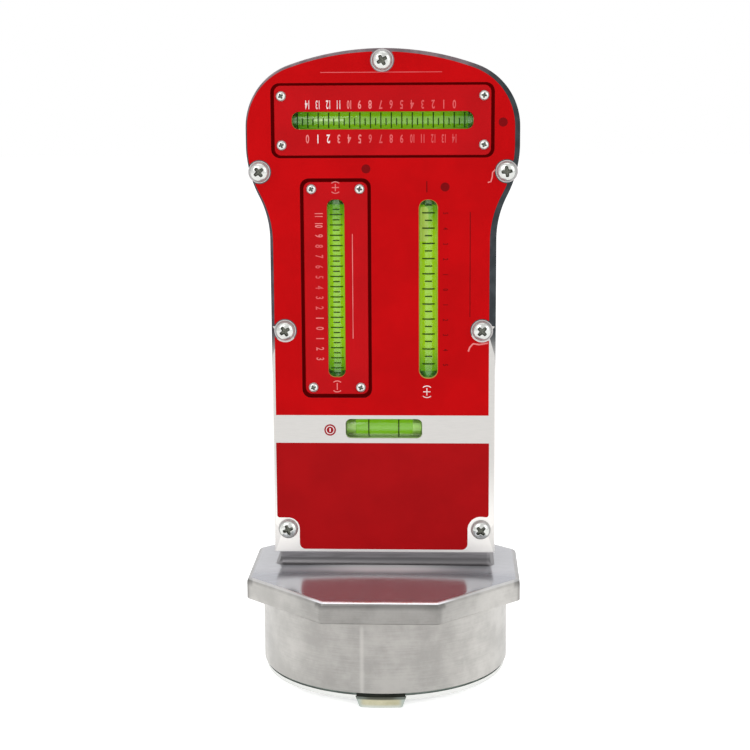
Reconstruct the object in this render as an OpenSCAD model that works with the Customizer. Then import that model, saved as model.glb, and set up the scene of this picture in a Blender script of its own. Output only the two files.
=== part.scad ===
// Camber, caster and kingpin-inclination gauge: a face plate with four spirit
// vials on a hollow casting that stands on a round magnetic base.
// Frame: +Z up along the face plate, -Y out of its face, +X to the right.
// The origin is the centre of the plane that the three base feet rest on.

/* [Base] */
// Width of the octagonal flange across its flats
flange_w = 90; // [88:1:94]
// Thickness of the flange
flange_t = 7.3; // [5.5:0.1:8]
// Diameter of the round cup under the flange
cup_d = 82.4; // [80:0.2:84]
// Height of the cup under the flange
cup_h = 24.5; // [24:0.5:28]
// Height of the cup's rim over the rest plane
rim_h = 5.2; // [5:0.1:6]
// Width of each foot
foot_w = 16.7; // [14:0.1:20]

/* [Face plate] */
// Height of the whole gauge
total_h = 208.6; // [206:0.2:212]
// Width of the plate's straight lower part
plate_w = 73.8; // [72:0.2:76]
// Width of the plate's head
head_w = 88.6; // [86:0.2:90]
// Thickness of the face panel
panel_t = 1.5; // [1:0.1:2]
// Distance of the panel's face in front of the base's centre
face_y = 5.1; // [4:0.1:6]
// Depth of the casting behind the panel
case_d = 24.6; // [24:0.2:28]
// Height of the bare neck between flange and panel
neck_h = 5.0; // [4:0.2:8]

/* [Vials] */
// Outer diameter of a vial
vial_d = 8; // [7.5:0.1:8.2]
// Length of the kingpin, caster and camber vials
vial_l = 61; // [60:0.5:62]
// Width of the sight slot over the kingpin vial
kpi_slot_w = 5.6; // [5:0.1:6]
// Width of the sight slot over the caster vial
caster_slot_w = 5.6; // [4.6:0.1:6]
// Width of the sight slot over the camber vial
camber_slot_w = 5.9; // [5:0.1:6.4]
// Length of the sight slots
slot_l = 58.6; // [57:0.1:59.2]
// Length of the window over the levelling vial
level_window_l = 25.3; // [24:0.1:26]
// Width of the window over the levelling vial
level_window_w = 6.3; // [5.6:0.1:6.8]

/* [Tilting carriers] */
// Length of each carrier's cover plate
cover_l = 70; // [69:0.2:70.4]
// Width of the caster cover plate
caster_cover_w = 20.9; // [20:0.1:21.6]
// Width of the kingpin cover plate
kpi_cover_w = 22.4; // [21:0.1:22.6]
// Gap round a cover plate in its opening
cover_gap = 1; // [0.9:0.1:1.2]
// Diameter of the adjusting screws' knobs
knob_d = 14; // [12:0.5:16]

/* [Hidden] */
// body and panel outline, from the rest plane up
flange_z = rim_h + cup_h;
neck_z = flange_z + flange_t;
case_z = neck_z + neck_h;
head_r = 90;
corner_r = 21;
shoulder_r = 36.7;
waist_r = 31.2;
half_head = head_w / 2;
half_plate = plate_w / 2;
waist_z = total_h - 61.3;
// arcs of the waist, shoulder, corner and crown meet where they are tangent
waist_dx = half_plate + waist_r - (half_head - shoulder_r);
waist_dz = sqrt(pow(waist_r + shoulder_r, 2) - pow(waist_dx, 2));
turn_z = waist_z + waist_dz * waist_r / (waist_r + shoulder_r);
shoulder_z = waist_z + waist_dz;
corner_x = half_head - corner_r;
corner_dz = sqrt(pow(head_r - corner_r, 2) - pow(corner_x, 2));
corner_z = total_h - head_r + corner_dz;

// depths, measured along Y
panel_back = panel_t - face_y;
case_back = panel_back + case_d;
side_wall = 3;
back_wall = 3.5;
inner_back = case_back - back_wall;
neck_front = -2;
neck_inset = 1.4;
case_floor = 4;

// softened edges and hollow roots of the casting; a root sinks a little into the plate
// it stands on, so that it meets it at an angle
flange_edge = 0.7;
flange_corner_cut = 0.35;
neck_root = 2.4;
cup_root = 1.6;
cup_edge = 1;
root_dip = 0.12;

// panel screws
panel_screw_r = 2;
panel_screw_l = 12;
panel_head_r = 3.3;
panel_head_h = 2.3;
panel_boss_r = 4.2;
panel_screw_at = [
    [0, total_h - 3.8],
    [40.1, 169.3], [-40.1, 169.3],
    [32.4, 117.3], [-32.4, 117.3],
    [32.3, 50], [-32.3, 50]
];

// centres of the four vials on the face, as x and z
kpi_at = [0, 185.7];
caster_at = [-15.4, 131];
camber_at = [14.8, 130.8];
level_at = [0, 84.4];

// a carrier lies along Z about its own centre: pivot at its top end,
// adjusting screw at its bottom end
cover_t = 1.6;
cover_recess = 0.2;
cover_front = cover_recess - face_y;
holder_front = cover_front + cover_t;
holder_depth = 11.3;
holder_back = holder_front + holder_depth;
holder_inset = 1;
cover_r = 2.2;
vial_y = holder_front + 0.15 + vial_d / 2;
vial_clear = 0.05;
pivot_z = 28;
pivot_y = 11.2;
pivot_r = 1.5;
pivot_l = 18;
lug_r = 2.7;
lug_w = 10;
ear_t = 3.6;
ear_gap = 0.4;
ear_r = 2.6;
adjust_z = -27;
small_at = [7.85, 32.7];
small_screw_r = 0.95;
small_screw_l = 7;
small_head_r = 1.6;
small_head_h = 1.1;

// adjusting screws
screw_r = 2;
screw_tip_y = 7.9;
nut_r = 3.2;
nut_front = 5.6;
nut_back = 13.6;
nut_bore_r = 2.3;
nut_boss_r = 4.6;
nut_boss_back = 11;
clip_t = 0.6;
clip_r = 3.6;
clip_gap = 0.3;
groove_r = 1.6;
washer_t = 0.5;
washer_r = 4.5;
knob_h = 7;
knob_collar_r = 4.4;
knob_collar_h = 1.2;
knurls = 32;
knurl_depth = 0.45;
knob_chamfer = 0.8;

// fixed holders of the camber and levelling vials
fixed_w = 13;
fixed_l = 64;
fixed_ear = 7.5;
fixed_ear_y = 3;
fixed_screw_r = 1.45;
fixed_head_r = 2.75;
fixed_head_h = 1.8;
fixed_screw_l = 9;
fixed_post_r = 3.6;
level_vial_l = 25;
level_holder_l = 30;
level_holder_w = 10.6;
level_holder_back = 6;

// vial glass
glass_t = 1;
plug_l = 3;

// magnet base
cup_wall = 3.7;
cup_r = cup_d / 2;
cup_bore_r = cup_r - cup_wall;
cup_roof = 24;
pot_clear = 0.2;
pot_r = cup_bore_r - pot_clear;
pot_wall = 3.3;
pot_floor = 4;
pot_rim_r = cup_r - 0.7;
pot_rim_z = 2.7;
pot_rim_gap = 0.1;
pot_rim_edge = 0.6;
foot_r = cup_r - 0.2;
foot_edge = 1;
magnet_bottom = 6.5;
magnet_gap = 0.2;
magnet_hole_r = 16;
filler_bottom = 3.2;
pole_r = 13;
pole_spigot_r = 9;
pole_bore_r = 5.05;
pole_chamber_r = 7.05;
pole_shoulder = 8;
pot_screw_ring = 25;
pot_screw_r = 1.95;
pot_screw_head_r = 4;
pot_screw_head_h = 2.2;
pot_screw_l = 11;

// centring pin and its spring
pin_tip_z = 0.3;
pin_r = 5;
pin_nose = 5;
pin_nose_r = 0.8;
pin_collar_r = 6.9;
pin_collar_z = 15;
pin_collar_t = 3;
pin_stem_r = 3.4;
pin_stem_l = 5;
spring_bore_r = 6.5;
spring_bore_top = 33;

// springs: mean radius, wire diameter, number of curls
pin_spring = [5, 1, 7];
carrier_spring = [5.4, 0.8, 5];
spring_seat = 0.08;
curl_rings = 8;
wire_sides = 6;

fine = 96;
medium = 48;
small = 32;
eps = 0.01;

// ---- helpers -------------------------------------------------------------

// Extrudes a drawing of the face, whose up is Z, from depth y0 to depth y1
module face_extrude(y0, y1) {
    translate([0, y1, 0])
        rotate([90, 0, 0])
            linear_extrude(height = y1 - y0)
                children();
}

// A round bar along Y at a place on the face
module bar_y(at, y0, y1, r, n = small) {
    translate([at[0], y1, at[1]])
        rotate([90, 0, 0])
            cylinder(h = y1 - y0, r = r, $fn = n);
}

// A rectangle about its own centre with round corners
module round_rect(w, h, r) {
    square([w - 2 * r, h], center = true);
    square([w, h - 2 * r], center = true);
    for (sx = [-1, 1], sz = [-1, 1])
        translate([sx * (w / 2 - r), sz * (h / 2 - r)])
            circle(r = r, $fn = small);
}

// A slot along the drawing's up direction with half-round ends
module slot(w, l) {
    square([w, l - w], center = true);
    for (s = [-1, 1])
        translate([0, s * (l - w) / 2])
            circle(r = w / 2, $fn = small);
}

// Puts a carrier, drawn along Z about its own centre, at its vial's place
module at_caster() {
    translate([caster_at[0], 0, caster_at[1]])
        children();
}

// The kingpin carrier lies across the plate with its pivot on the left
module at_kpi() {
    translate([kpi_at[0], 0, kpi_at[1]])
        rotate([0, -90, 0])
            children();
}

module at_camber() {
    translate([camber_at[0], 0, camber_at[1]])
        children();
}

module at_level() {
    translate([level_at[0], 0, level_at[1]])
        rotate([0, -90, 0])
            children();
}

// ---- outline -------------------------------------------------------------

// Right half of the waist and shoulder: a hollow arc that runs into a round one
module waist_half(inset) {
    difference() {
        translate([0, waist_z])
            square([half_plate + 6, turn_z - waist_z]);
        translate([half_plate + waist_r, waist_z])
            circle(r = waist_r + inset, $fn = 2 * fine);
    }
    intersection() {
        translate([0, waist_z])
            square([half_head, corner_z - waist_z]);
        translate([half_head - shoulder_r, shoulder_z])
            circle(r = shoulder_r - inset, $fn = 2 * fine);
    }
}

// Outline of the plate and of the casting behind it, drawn in by inset
module plate_outline(inset) {
    reach = head_r / (head_r - corner_r);
    touch = [corner_x * reach, total_h - head_r + corner_dz * reach];
    translate([inset - half_plate, case_z + inset])
        square([plate_w - 2 * inset, corner_z - case_z - inset]);
    for (s = [0, 1])
        mirror([s, 0])
            waist_half(inset);
    translate([inset - half_head, shoulder_z])
        square([head_w - 2 * inset, corner_z - shoulder_z]);
    intersection() {
        translate([0, total_h - head_r])
            circle(r = head_r - inset, $fn = 4 * fine);
        polygon([
            [-corner_x, shoulder_z], [corner_x, shoulder_z], [corner_x, corner_z],
            touch, [0, total_h + head_r / 4], [-touch[0], touch[1]],
            [-corner_x, corner_z]
        ]);
    }
    for (s = [-1, 1])
        translate([s * corner_x, corner_z])
            circle(r = corner_r - inset, $fn = fine);
}

// ---- casting -------------------------------------------------------------

// Bar as long and wide as the flange, with all four long edges bevelled
module flange_bar() {
    half = flange_w / 2;
    rotate([90, 0, 0])
        linear_extrude(height = flange_w + 10, center = true)
            polygon([
                [flange_edge - half, 0], [half - flange_edge, 0], [half, flange_edge],
                [half, flange_t - flange_edge], [half - flange_edge, flange_t],
                [flange_edge - half, flange_t], [-half, flange_t - flange_edge],
                [-half, flange_edge]
            ]);
}

// Octagonal plate: what four crossed bars share, with slightly rounded corners
module flange() {
    translate([0, 0, flange_z])
        intersection() {
            translate([0, 0, -1])
                cylinder(h = flange_t + 2, r = flange_w / 2 / cos(22.5) - flange_corner_cut,
                         $fn = 2 * fine);
            flange_bar();
            rotate(45)
                flange_bar();
            rotate(90)
                flange_bar();
            rotate(135)
                flange_bar();
        }
}

// Upright strip from a to b, between flange and case, with a hollow flare at each side
// of its foot
module flared_strip(a, b) {
    low = neck_z - eps;
    root_z = neck_z + neck_root - root_dip;
    difference() {
        translate([a - neck_root, low])
            square([b - a + 2 * neck_root, case_z + eps - low]);
        for (side = [[a - neck_root, a - neck_root - 1], [b + neck_root, b]]) {
            translate([side[0], root_z])
                circle(r = neck_root, $fn = medium);
            translate([side[1], root_z])
                square([neck_root + 1, neck_h]);
        }
    }
}

module neck() {
    half = half_plate - neck_inset;
    intersection() {
        translate([-half - neck_root, 0, 0])
            rotate([90, 0, 90])
                linear_extrude(height = 2 * (half + neck_root))
                    flared_strip(neck_front, case_back - neck_inset);
        face_extrude(neck_front - neck_root, case_back - neck_inset + neck_root)
            flared_strip(-half, half);
    }
}

// Two ears on the back wall that hold a carrier's pivot pin
module pivot_ears() {
    for (s = [-1, 1])
        translate([s * (lug_w / 2 + ear_gap + ear_t / 2), pivot_y, pivot_z])
            difference() {
                union() {
                    rotate([0, 90, 0])
                        cylinder(h = ear_t, r = ear_r, center = true, $fn = medium);
                    translate([-ear_t / 2, 0, -ear_r])
                        cube([ear_t, inner_back - pivot_y + eps, 2 * ear_r]);
                }
                rotate([0, 90, 0])
                    cylinder(h = ear_t + 1, r = pivot_r, center = true, $fn = medium);
            }
}

module case_shell() {
    difference() {
        face_extrude(panel_back, case_back)
            plate_outline(0);
        face_extrude(panel_back - 1, inner_back)
            difference() {
                plate_outline(side_wall);
                translate([-half_plate, case_z])
                    square([plate_w, case_floor]);
            }
    }
}

module panel_bosses() {
    intersection() {
        face_extrude(panel_back, inner_back + eps)
            plate_outline(0);
        for (at = panel_screw_at)
            bar_y(at, panel_back, inner_back + eps, panel_boss_r);
    }
}

module fixed_posts() {
    at_camber()
        for (s = [-1, 1])
            bar_y([0, s * (fixed_l + fixed_ear) / 2], fixed_ear_y + 3,
                  inner_back + eps, fixed_post_r);
    at_level()
        for (s = [-1, 1])
            bar_y([0, s * (level_holder_l + fixed_ear) / 2], level_holder_back,
                  inner_back + eps, fixed_post_r);
}

module fixed_post_holes() {
    at_camber()
        for (s = [-1, 1])
            bar_y([0, s * (fixed_l + fixed_ear) / 2], fixed_ear_y + 2,
                  fixed_ear_y + 3 + fixed_screw_l, fixed_screw_r + 0.05);
    at_level()
        for (s = [-1, 1])
            bar_y([0, s * (level_holder_l + fixed_ear) / 2], level_holder_back - 1,
                  level_holder_back + fixed_screw_l, fixed_screw_r + 0.05);
}

// Half section of the cup: round lower edge, hollow root under the flange
module cup_section() {
    difference() {
        union() {
            translate([0, rim_h + cup_edge])
                square([cup_r, cup_h - cup_edge + eps]);
            translate([0, rim_h])
                square([cup_r - cup_edge, cup_edge + eps]);
            translate([cup_r - cup_edge, rim_h + cup_edge])
                circle(r = cup_edge, $fn = medium);
            translate([cup_r - eps, flange_z - cup_root + root_dip])
                square([cup_root + eps, cup_root - root_dip + eps]);
        }
        translate([cup_r + cup_root, flange_z - cup_root + root_dip])
            circle(r = cup_root, $fn = medium);
        translate([-1, rim_h - 1])
            square([cup_bore_r + 1, cup_roof - rim_h + 1]);
    }
}

module body_casting() {
    color("silver")
    difference() {
        union() {
            case_shell();
            panel_bosses();
            fixed_posts();
            at_caster()
                pivot_ears();
            at_kpi()
                pivot_ears();
            neck();
            flange();
            rotate_extrude($fn = 2 * fine)
                cup_section();
        }
        for (at = panel_screw_at)
            bar_y(at, panel_back - 1, panel_back + panel_screw_l + 1, panel_screw_r + 0.05);
        fixed_post_holes();
        at_caster()
            bar_y([0, adjust_z], inner_back - 1, case_back + 1, screw_r + 0.05, medium);
        at_kpi()
            bar_y([0, adjust_z], inner_back - 1, case_back + 1, screw_r + 0.05, medium);
        translate([0, 0, cup_roof - 1])
            cylinder(h = spring_bore_top - cup_roof + 1, r = spring_bore_r, $fn = medium);
        for (a = [90, 210, 330])
            rotate(a)
                translate([pot_screw_ring, 0, cup_roof - 1])
                    cylinder(h = 9, r = pot_screw_r + 0.05, $fn = small);
    }
}

// ---- face panel and screws -------------------------------------------------

module face_panel() {
    color("firebrick")
    face_extrude(-face_y, panel_back)
        difference() {
            plate_outline(0);
            translate(kpi_at)
                round_rect(cover_l + 2 * cover_gap, kpi_cover_w + 1.4, cover_r + 0.6);
            translate(caster_at)
                round_rect(caster_cover_w + 2 * cover_gap, cover_l + 2.2, cover_r + 0.6);
            translate(camber_at)
                slot(camber_slot_w, slot_l);
            translate(level_at)
                round_rect(level_window_l, level_window_w, 1.7);
            for (at = panel_screw_at)
                translate(at)
                    circle(r = panel_screw_r + 0.2, $fn = small);
        }
}

// Domed head, shank and crossed recess, head towards -Y with its seat at y = 0
module pan_screw(r, l, head_r, head_h) {
    difference() {
        rotate([90, 0, 0]) {
            rotate_extrude($fn = small)
                intersection() {
                    translate([0, head_h - 1.6 * head_r])
                        circle(r = 1.6 * head_r, $fn = fine);
                    square([head_r, head_h]);
                }
            translate([0, 0, -l])
                cylinder(h = l + eps, r = r, $fn = small);
        }
        for (a = [0, 90])
            rotate([0, a, 0])
                translate([-head_r * 0.55, -head_h - 1, -head_r * 0.14])
                    cube([head_r * 1.1, head_h * 0.6 + 1, head_r * 0.28]);
    }
}

module panel_screws() {
    color("gainsboro")
    for (at = panel_screw_at)
        translate([at[0], -face_y, at[1]])
            rotate([0, 17 * at[0] + at[1], 0])
                pan_screw(panel_screw_r, panel_screw_l, panel_head_r, panel_head_h);
}

// ---- carrier parts, each drawn along Z about the carrier's centre ----------

module cover(w, slot_w) {
    face_extrude(cover_front, holder_front)
        difference() {
            round_rect(w, cover_l, cover_r);
            slot(slot_w, slot_l);
            for (sx = [-1, 1], sz = [-1, 1])
                translate([sx * small_at[0], sz * small_at[1]])
                    circle(r = small_screw_r + 0.1, $fn = small);
        }
}

module cover_screws() {
    for (sx = [-1, 1], sz = [-1, 1])
        translate([sx * small_at[0], cover_front, sz * small_at[1]])
            rotate([0, 35 * sx + 20 * sz, 0])
                pan_screw(small_screw_r, small_screw_l, small_head_r, small_head_h);
}

// Open channel that a vial drops into from the front
module vial_channel(l) {
    r = vial_d / 2 + vial_clear;
    translate([0, vial_y, -l / 2])
        cylinder(h = l, r = r, $fn = fine);
    translate([-r, holder_front - 1, -l / 2])
        cube([2 * r, vial_y - holder_front + 1, l]);
}

module carrier_holder(w) {
    difference() {
        union() {
            face_extrude(holder_front, holder_back)
                round_rect(w - 2 * holder_inset, cover_l - 2 * holder_inset, cover_r);
            translate([0, pivot_y, pivot_z])
                rotate([0, 90, 0])
                    cylinder(h = lug_w, r = lug_r, center = true, $fn = medium);
            translate([-lug_w / 2, holder_back - eps, pivot_z - lug_r])
                cube([lug_w, pivot_y - holder_back + eps, 2 * lug_r]);
            bar_y([0, adjust_z], holder_back - eps, nut_boss_back, nut_boss_r, medium);
        }
        vial_channel(vial_l + 0.4);
        translate([0, pivot_y, pivot_z])
            rotate([0, 90, 0])
                cylinder(h = lug_w + 1, r = pivot_r + 0.05, center = true, $fn = medium);
        bar_y([0, adjust_z], nut_front, nut_boss_back + 1, nut_r, medium);
        bar_y([0, adjust_z], vial_y, nut_front + eps, nut_bore_r, medium);
        for (sx = [-1, 1], sz = [-1, 1])
            bar_y([sx * small_at[0], sz * small_at[1]], holder_front - 1,
                  cover_front + small_screw_l + 0.5, small_screw_r + 0.05);
    }
}

module vial_glass(l) {
    translate([0, vial_y, -l / 2])
        difference() {
            cylinder(h = l, r = vial_d / 2, $fn = fine);
            translate([0, 0, -1])
                cylinder(h = l + 2, r = vial_d / 2 - glass_t, $fn = fine);
        }
}

module vial_plugs(l) {
    for (s = [-1, 1])
        translate([0, vial_y, s * (l - plug_l) / 2])
            cylinder(h = plug_l, r = vial_d / 2 - glass_t, center = true, $fn = fine);
}

module pivot_pin() {
    translate([0, pivot_y, pivot_z])
        rotate([0, 90, 0])
            cylinder(h = pivot_l, r = pivot_r, center = true, $fn = medium);
}

// Knurled ring: a star outline cut to a chamfered drum
module knurled_drum() {
    r = knob_d / 2;
    intersection() {
        linear_extrude(height = knob_h)
            polygon([for (i = [0 : 2 * knurls - 1])
                let (a = 180 * i / knurls, q = r - knurl_depth * (i % 2))
                    [q * cos(a), q * sin(a)]]);
        rotate_extrude($fn = medium)
            polygon([
                [0, 0], [r - knob_chamfer, 0], [r + 0.1, knob_chamfer],
                [r + 0.1, knob_h - knob_chamfer], [r - knob_chamfer, knob_h], [0, knob_h]
            ]);
    }
}

// Adjusting screw with its knob behind the back wall
module adjuster() {
    collar_y = case_back + washer_t;
    groove_y = inner_back - clip_gap - clip_t;
    translate([0, 0, adjust_z])
        difference() {
            union() {
                translate([0, collar_y + knob_collar_h, 0])
                    rotate([-90, 0, 0])
                        knurled_drum();
                bar_y([0, 0], collar_y, collar_y + knob_collar_h + eps, knob_collar_r, medium);
                bar_y([0, 0], groove_y + clip_t + 0.05, collar_y + eps, screw_r, medium);
                bar_y([0, 0], groove_y - 0.1, groove_y + clip_t + 0.1, groove_r, medium);
                bar_y([0, 0], screw_tip_y, groove_y - 0.05, screw_r, medium);
            }
            bar_y([0, 0], collar_y + knob_collar_h + knob_h - 1, collar_y + 20, 4, medium);
        }
}

module adjuster_washer() {
    translate([0, 0, adjust_z])
        difference() {
            bar_y([0, 0], case_back, case_back + washer_t, washer_r, medium);
            bar_y([0, 0], case_back - 1, case_back + washer_t + 1, screw_r + 0.15, medium);
        }
}

// Open retaining clip in the screw's groove
module adjuster_clip() {
    groove_y = inner_back - clip_gap - clip_t;
    translate([0, 0, adjust_z])
        difference() {
            bar_y([0, 0], groove_y, groove_y + clip_t, clip_r, medium);
            bar_y([0, 0], groove_y - 1, groove_y + clip_t + 1, groove_r, medium);
            translate([-groove_r * 0.8, groove_y - 1, 0])
                cube([groove_r * 1.6, clip_t + 2, clip_r + 1]);
        }
}

module adjuster_nut() {
    translate([0, 0, adjust_z])
        difference() {
            bar_y([0, 0], nut_front, nut_back, nut_r, medium);
            bar_y([0, 0], nut_front - 1, nut_back + 1, nut_bore_r, medium);
        }
}

// ---- springs ---------------------------------------------------------------

// Centre of the wire at turn t of a spring whose centreline runs 0 to h
function coil_at(s, h, t) = [s[0] * cos(360 * t), s[0] * sin(360 * t), h * t / s[2]];

// Direction of the wire at turn t
function coil_dir(s, h, t) =
    let (d = [-2 * PI * s[0] * sin(360 * t), 2 * PI * s[0] * cos(360 * t), h / s[2]])
    d / norm(d);

// One ring of wire points at turn t, moved by run along the wire
function coil_ring(s, h, t, run) =
    let (
        d = coil_dir(s, h, t),
        n = [cos(360 * t), sin(360 * t), 0],
        b = cross(d, n),
        c = coil_at(s, h, t) + run * d
    )
    [for (k = [0 : wire_sides - 1])
        let (a = 360 * (k + 0.5) / wire_sides)
            c + s[1] / 2 * (cos(a) * n + sin(a) * b)];

// Least gap of the wire to its next turn
function coil_gap(s, h) =
    min([for (i = [0 : curl_rings], j = [-2 : 2])
        norm(coil_at(s, h, i / curl_rings) -
             coil_at(s, h, (i + j) / curl_rings + 1))]) - s[1];

// One unbroken round-wire spring from z = 0 to z = l
module coil_spring(s, l) {
    h = l - s[1];
    n = s[2] * curl_rings;
    rings = concat(
        [coil_ring(s, h, 0, -s[1])],
        [for (i = [0 : n]) coil_ring(s, h, i / curl_rings, 0)],
        [coil_ring(s, h, s[2], s[1])]
    );
    points = [for (ring = rings) for (p = ring) p];
    last = len(rings) - 1;
    sides = [for (i = [0 : last - 1], k = [0 : wire_sides - 1])
        let (
            a = i * wire_sides + k,
            b = i * wire_sides + (k + 1) % wire_sides,
            c = a + wire_sides,
            d = b + wire_sides
        )
        each [[a, b, d], [a, d, c]]];
    ends = [for (k = [1 : wire_sides - 2])
        each [
            [0, k + 1, k],
            [last * wire_sides, last * wire_sides + k, last * wire_sides + k + 1]
        ]];
    echo(str("least gap between turns ", coil_gap(s, h), " mm"));
    translate([0, 0, s[1] / 2])
        polyhedron(points = points, faces = concat(sides, ends));
}

module carrier_spring_coil() {
    translate([0, holder_back + spring_seat, adjust_z])
        rotate([-90, 0, 0])
            coil_spring(carrier_spring, inner_back - holder_back - 2 * spring_seat);
}

// ---- caster carrier ----------------------------------------------------------

module caster_cover() {
    color("crimson")
    at_caster()
        cover(caster_cover_w, caster_slot_w);
}

module caster_cover_screws() {
    color("gainsboro")
    at_caster()
        cover_screws();
}

module caster_holder() {
    color("lightgray")
    at_caster()
        carrier_holder(caster_cover_w);
}

module caster_vial() {
    color("yellowgreen")
    at_caster()
        vial_glass(vial_l);
}

module caster_vial_plugs() {
    color("darkgreen")
    at_caster()
        vial_plugs(vial_l);
}

module caster_pivot_pin() {
    color("gray")
    at_caster()
        pivot_pin();
}

module caster_adjuster() {
    color("gainsboro")
    at_caster()
        adjuster();
}

module caster_washer() {
    color("gray")
    at_caster()
        adjuster_washer();
}

module caster_clip() {
    color("dimgray")
    at_caster()
        adjuster_clip();
}

module caster_nut() {
    color("goldenrod")
    at_caster()
        adjuster_nut();
}

module caster_spring() {
    color("gray")
    at_caster()
        carrier_spring_coil();
}

// ---- kingpin carrier ---------------------------------------------------------

module kpi_cover() {
    color("crimson")
    at_kpi()
        cover(kpi_cover_w, kpi_slot_w);
}

module kpi_cover_screws() {
    color("gainsboro")
    at_kpi()
        cover_screws();
}

module kpi_holder() {
    color("lightgray")
    at_kpi()
        carrier_holder(kpi_cover_w);
}

module kpi_vial() {
    color("yellowgreen")
    at_kpi()
        vial_glass(vial_l);
}

module kpi_vial_plugs() {
    color("darkgreen")
    at_kpi()
        vial_plugs(vial_l);
}

module kpi_pivot_pin() {
    color("gray")
    at_kpi()
        pivot_pin();
}

module kpi_adjuster() {
    color("gainsboro")
    at_kpi()
        adjuster();
}

module kpi_washer() {
    color("gray")
    at_kpi()
        adjuster_washer();
}

module kpi_clip() {
    color("dimgray")
    at_kpi()
        adjuster_clip();
}

module kpi_nut() {
    color("goldenrod")
    at_kpi()
        adjuster_nut();
}

module kpi_spring() {
    color("gray")
    at_kpi()
        carrier_spring_coil();
}

// ---- fixed vials -------------------------------------------------------------

// Bar with a channel for a vial and a thinner ear at each end for a screw
module fixed_holder(w, l, back, ear_y) {
    difference() {
        union() {
            face_extrude(holder_front, back)
                square([w, l], center = true);
            for (s = [-1, 1])
                face_extrude(ear_y, back)
                    translate([0, s * (l + fixed_ear) / 2 - s * eps])
                        square([fixed_ear, fixed_ear], center = true);
        }
        vial_channel(l - 2);
        for (s = [-1, 1])
            bar_y([0, s * (l + fixed_ear) / 2], ear_y - 1, back + 1, fixed_screw_r + 0.1);
    }
}

module fixed_screws(l, ear_y) {
    for (s = [-1, 1])
        translate([0, ear_y, s * (l + fixed_ear) / 2])
            pan_screw(fixed_screw_r, fixed_screw_l, fixed_head_r, fixed_head_h);
}

module camber_holder() {
    color("lightgray")
    at_camber()
        fixed_holder(fixed_w, fixed_l, fixed_ear_y + 3, fixed_ear_y);
}

module camber_vial() {
    color("yellowgreen")
    at_camber()
        vial_glass(vial_l);
}

module camber_vial_plugs() {
    color("darkgreen")
    at_camber()
        vial_plugs(vial_l);
}

module camber_screws() {
    color("gainsboro")
    at_camber()
        fixed_screws(fixed_l, fixed_ear_y);
}

module level_holder() {
    color("lightgray")
    at_level()
        fixed_holder(level_holder_w, level_holder_l, level_holder_back, fixed_ear_y);
}

module level_vial() {
    color("yellowgreen")
    at_level()
        vial_glass(level_vial_l);
}

module level_vial_plugs() {
    color("darkgreen")
    at_level()
        vial_plugs(level_vial_l);
}

module level_screws() {
    color("gainsboro")
    at_level()
        fixed_screws(level_holder_l, fixed_ear_y);
}

// ---- magnet base ---------------------------------------------------------------

// Outer form of the pot: a drum with a rim whose lower edge is bevelled
module pot_drum() {
    rim_top = rim_h - pot_rim_gap;
    rotate_extrude($fn = 2 * fine)
        polygon([
            [0, pot_rim_z], [pot_rim_r - pot_rim_edge, pot_rim_z],
            [pot_rim_r, pot_rim_z + pot_rim_edge], [pot_rim_r, rim_top],
            [pot_r, rim_top], [pot_r, cup_roof], [0, cup_roof]
        ]);
}

// Three feet on the rim: each follows its round and has bevelled lower edges
module pot_feet() {
    top = rim_h - pot_rim_gap;
    half = foot_w / 2;
    intersection() {
        rotate_extrude($fn = 2 * fine)
            polygon([
                [0, 0], [foot_r - foot_edge, 0], [foot_r, foot_edge], [foot_r, top], [0, top]
            ]);
        for (a = [-90, 30, 150])
            rotate(a)
                rotate([90, 0, 90])
                    linear_extrude(height = foot_r + 1)
                        polygon([
                            [foot_edge - half, 0], [half - foot_edge, 0], [half, foot_edge],
                            [half, top], [-half, top], [-half, foot_edge]
                        ]);
    }
}

// Steel pot that fills the cup; its rim carries the three feet
module magnet_pot() {
    inner_r = pot_r - pot_wall;
    color("gainsboro")
    difference() {
        union() {
            pot_drum();
            pot_feet();
        }
        translate([0, 0, -1])
            cylinder(h = cup_roof - pot_floor + 1, r = inner_r, $fn = 2 * fine);
        cylinder(h = cup_roof + 1, r = pole_spigot_r, $fn = medium);
        for (a = [90, 210, 330])
            rotate(a)
                translate([pot_screw_ring, 0, cup_roof - pot_floor]) {
                    translate([0, 0, -1])
                        cylinder(h = pot_floor + 2, r = pot_screw_r + 0.25, $fn = small);
                    translate([0, 0, -eps])
                        cylinder(h = pot_screw_head_h + 0.1, r1 = pot_screw_head_r + 0.1,
                                 r2 = pot_screw_r + 0.15, $fn = small);
                }
    }
}

module magnet_ring() {
    color("dimgray")
    translate([0, 0, magnet_bottom])
        difference() {
            cylinder(h = cup_roof - pot_floor - magnet_bottom,
                     r = pot_r - pot_wall - magnet_gap, $fn = 2 * fine);
            translate([0, 0, -1])
                cylinder(h = cup_roof, r = magnet_hole_r, $fn = fine);
        }
}

// Cast resin that closes the gap under the magnet
module magnet_filler() {
    color("darkslategray")
    translate([0, 0, filler_bottom])
        difference() {
            cylinder(h = magnet_bottom - filler_bottom, r = pot_r - pot_wall, $fn = 2 * fine);
            translate([0, 0, -1])
                cylinder(h = magnet_bottom, r = pole_r, $fn = fine);
        }
}

// Steel centre pole with the bore that guides the centring pin
module centre_pole() {
    color("silver")
    difference() {
        union() {
            translate([0, 0, pot_rim_z])
                cylinder(h = cup_roof - pot_floor - pot_rim_z, r = pole_r, $fn = fine);
            translate([0, 0, pot_rim_z])
                cylinder(h = cup_roof - pot_rim_z, r = pole_spigot_r, $fn = medium);
        }
        cylinder(h = cup_roof, r = pole_bore_r, $fn = medium);
        translate([0, 0, pole_shoulder])
            cylinder(h = cup_roof, r = pole_chamber_r, $fn = medium);
    }
}

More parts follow.
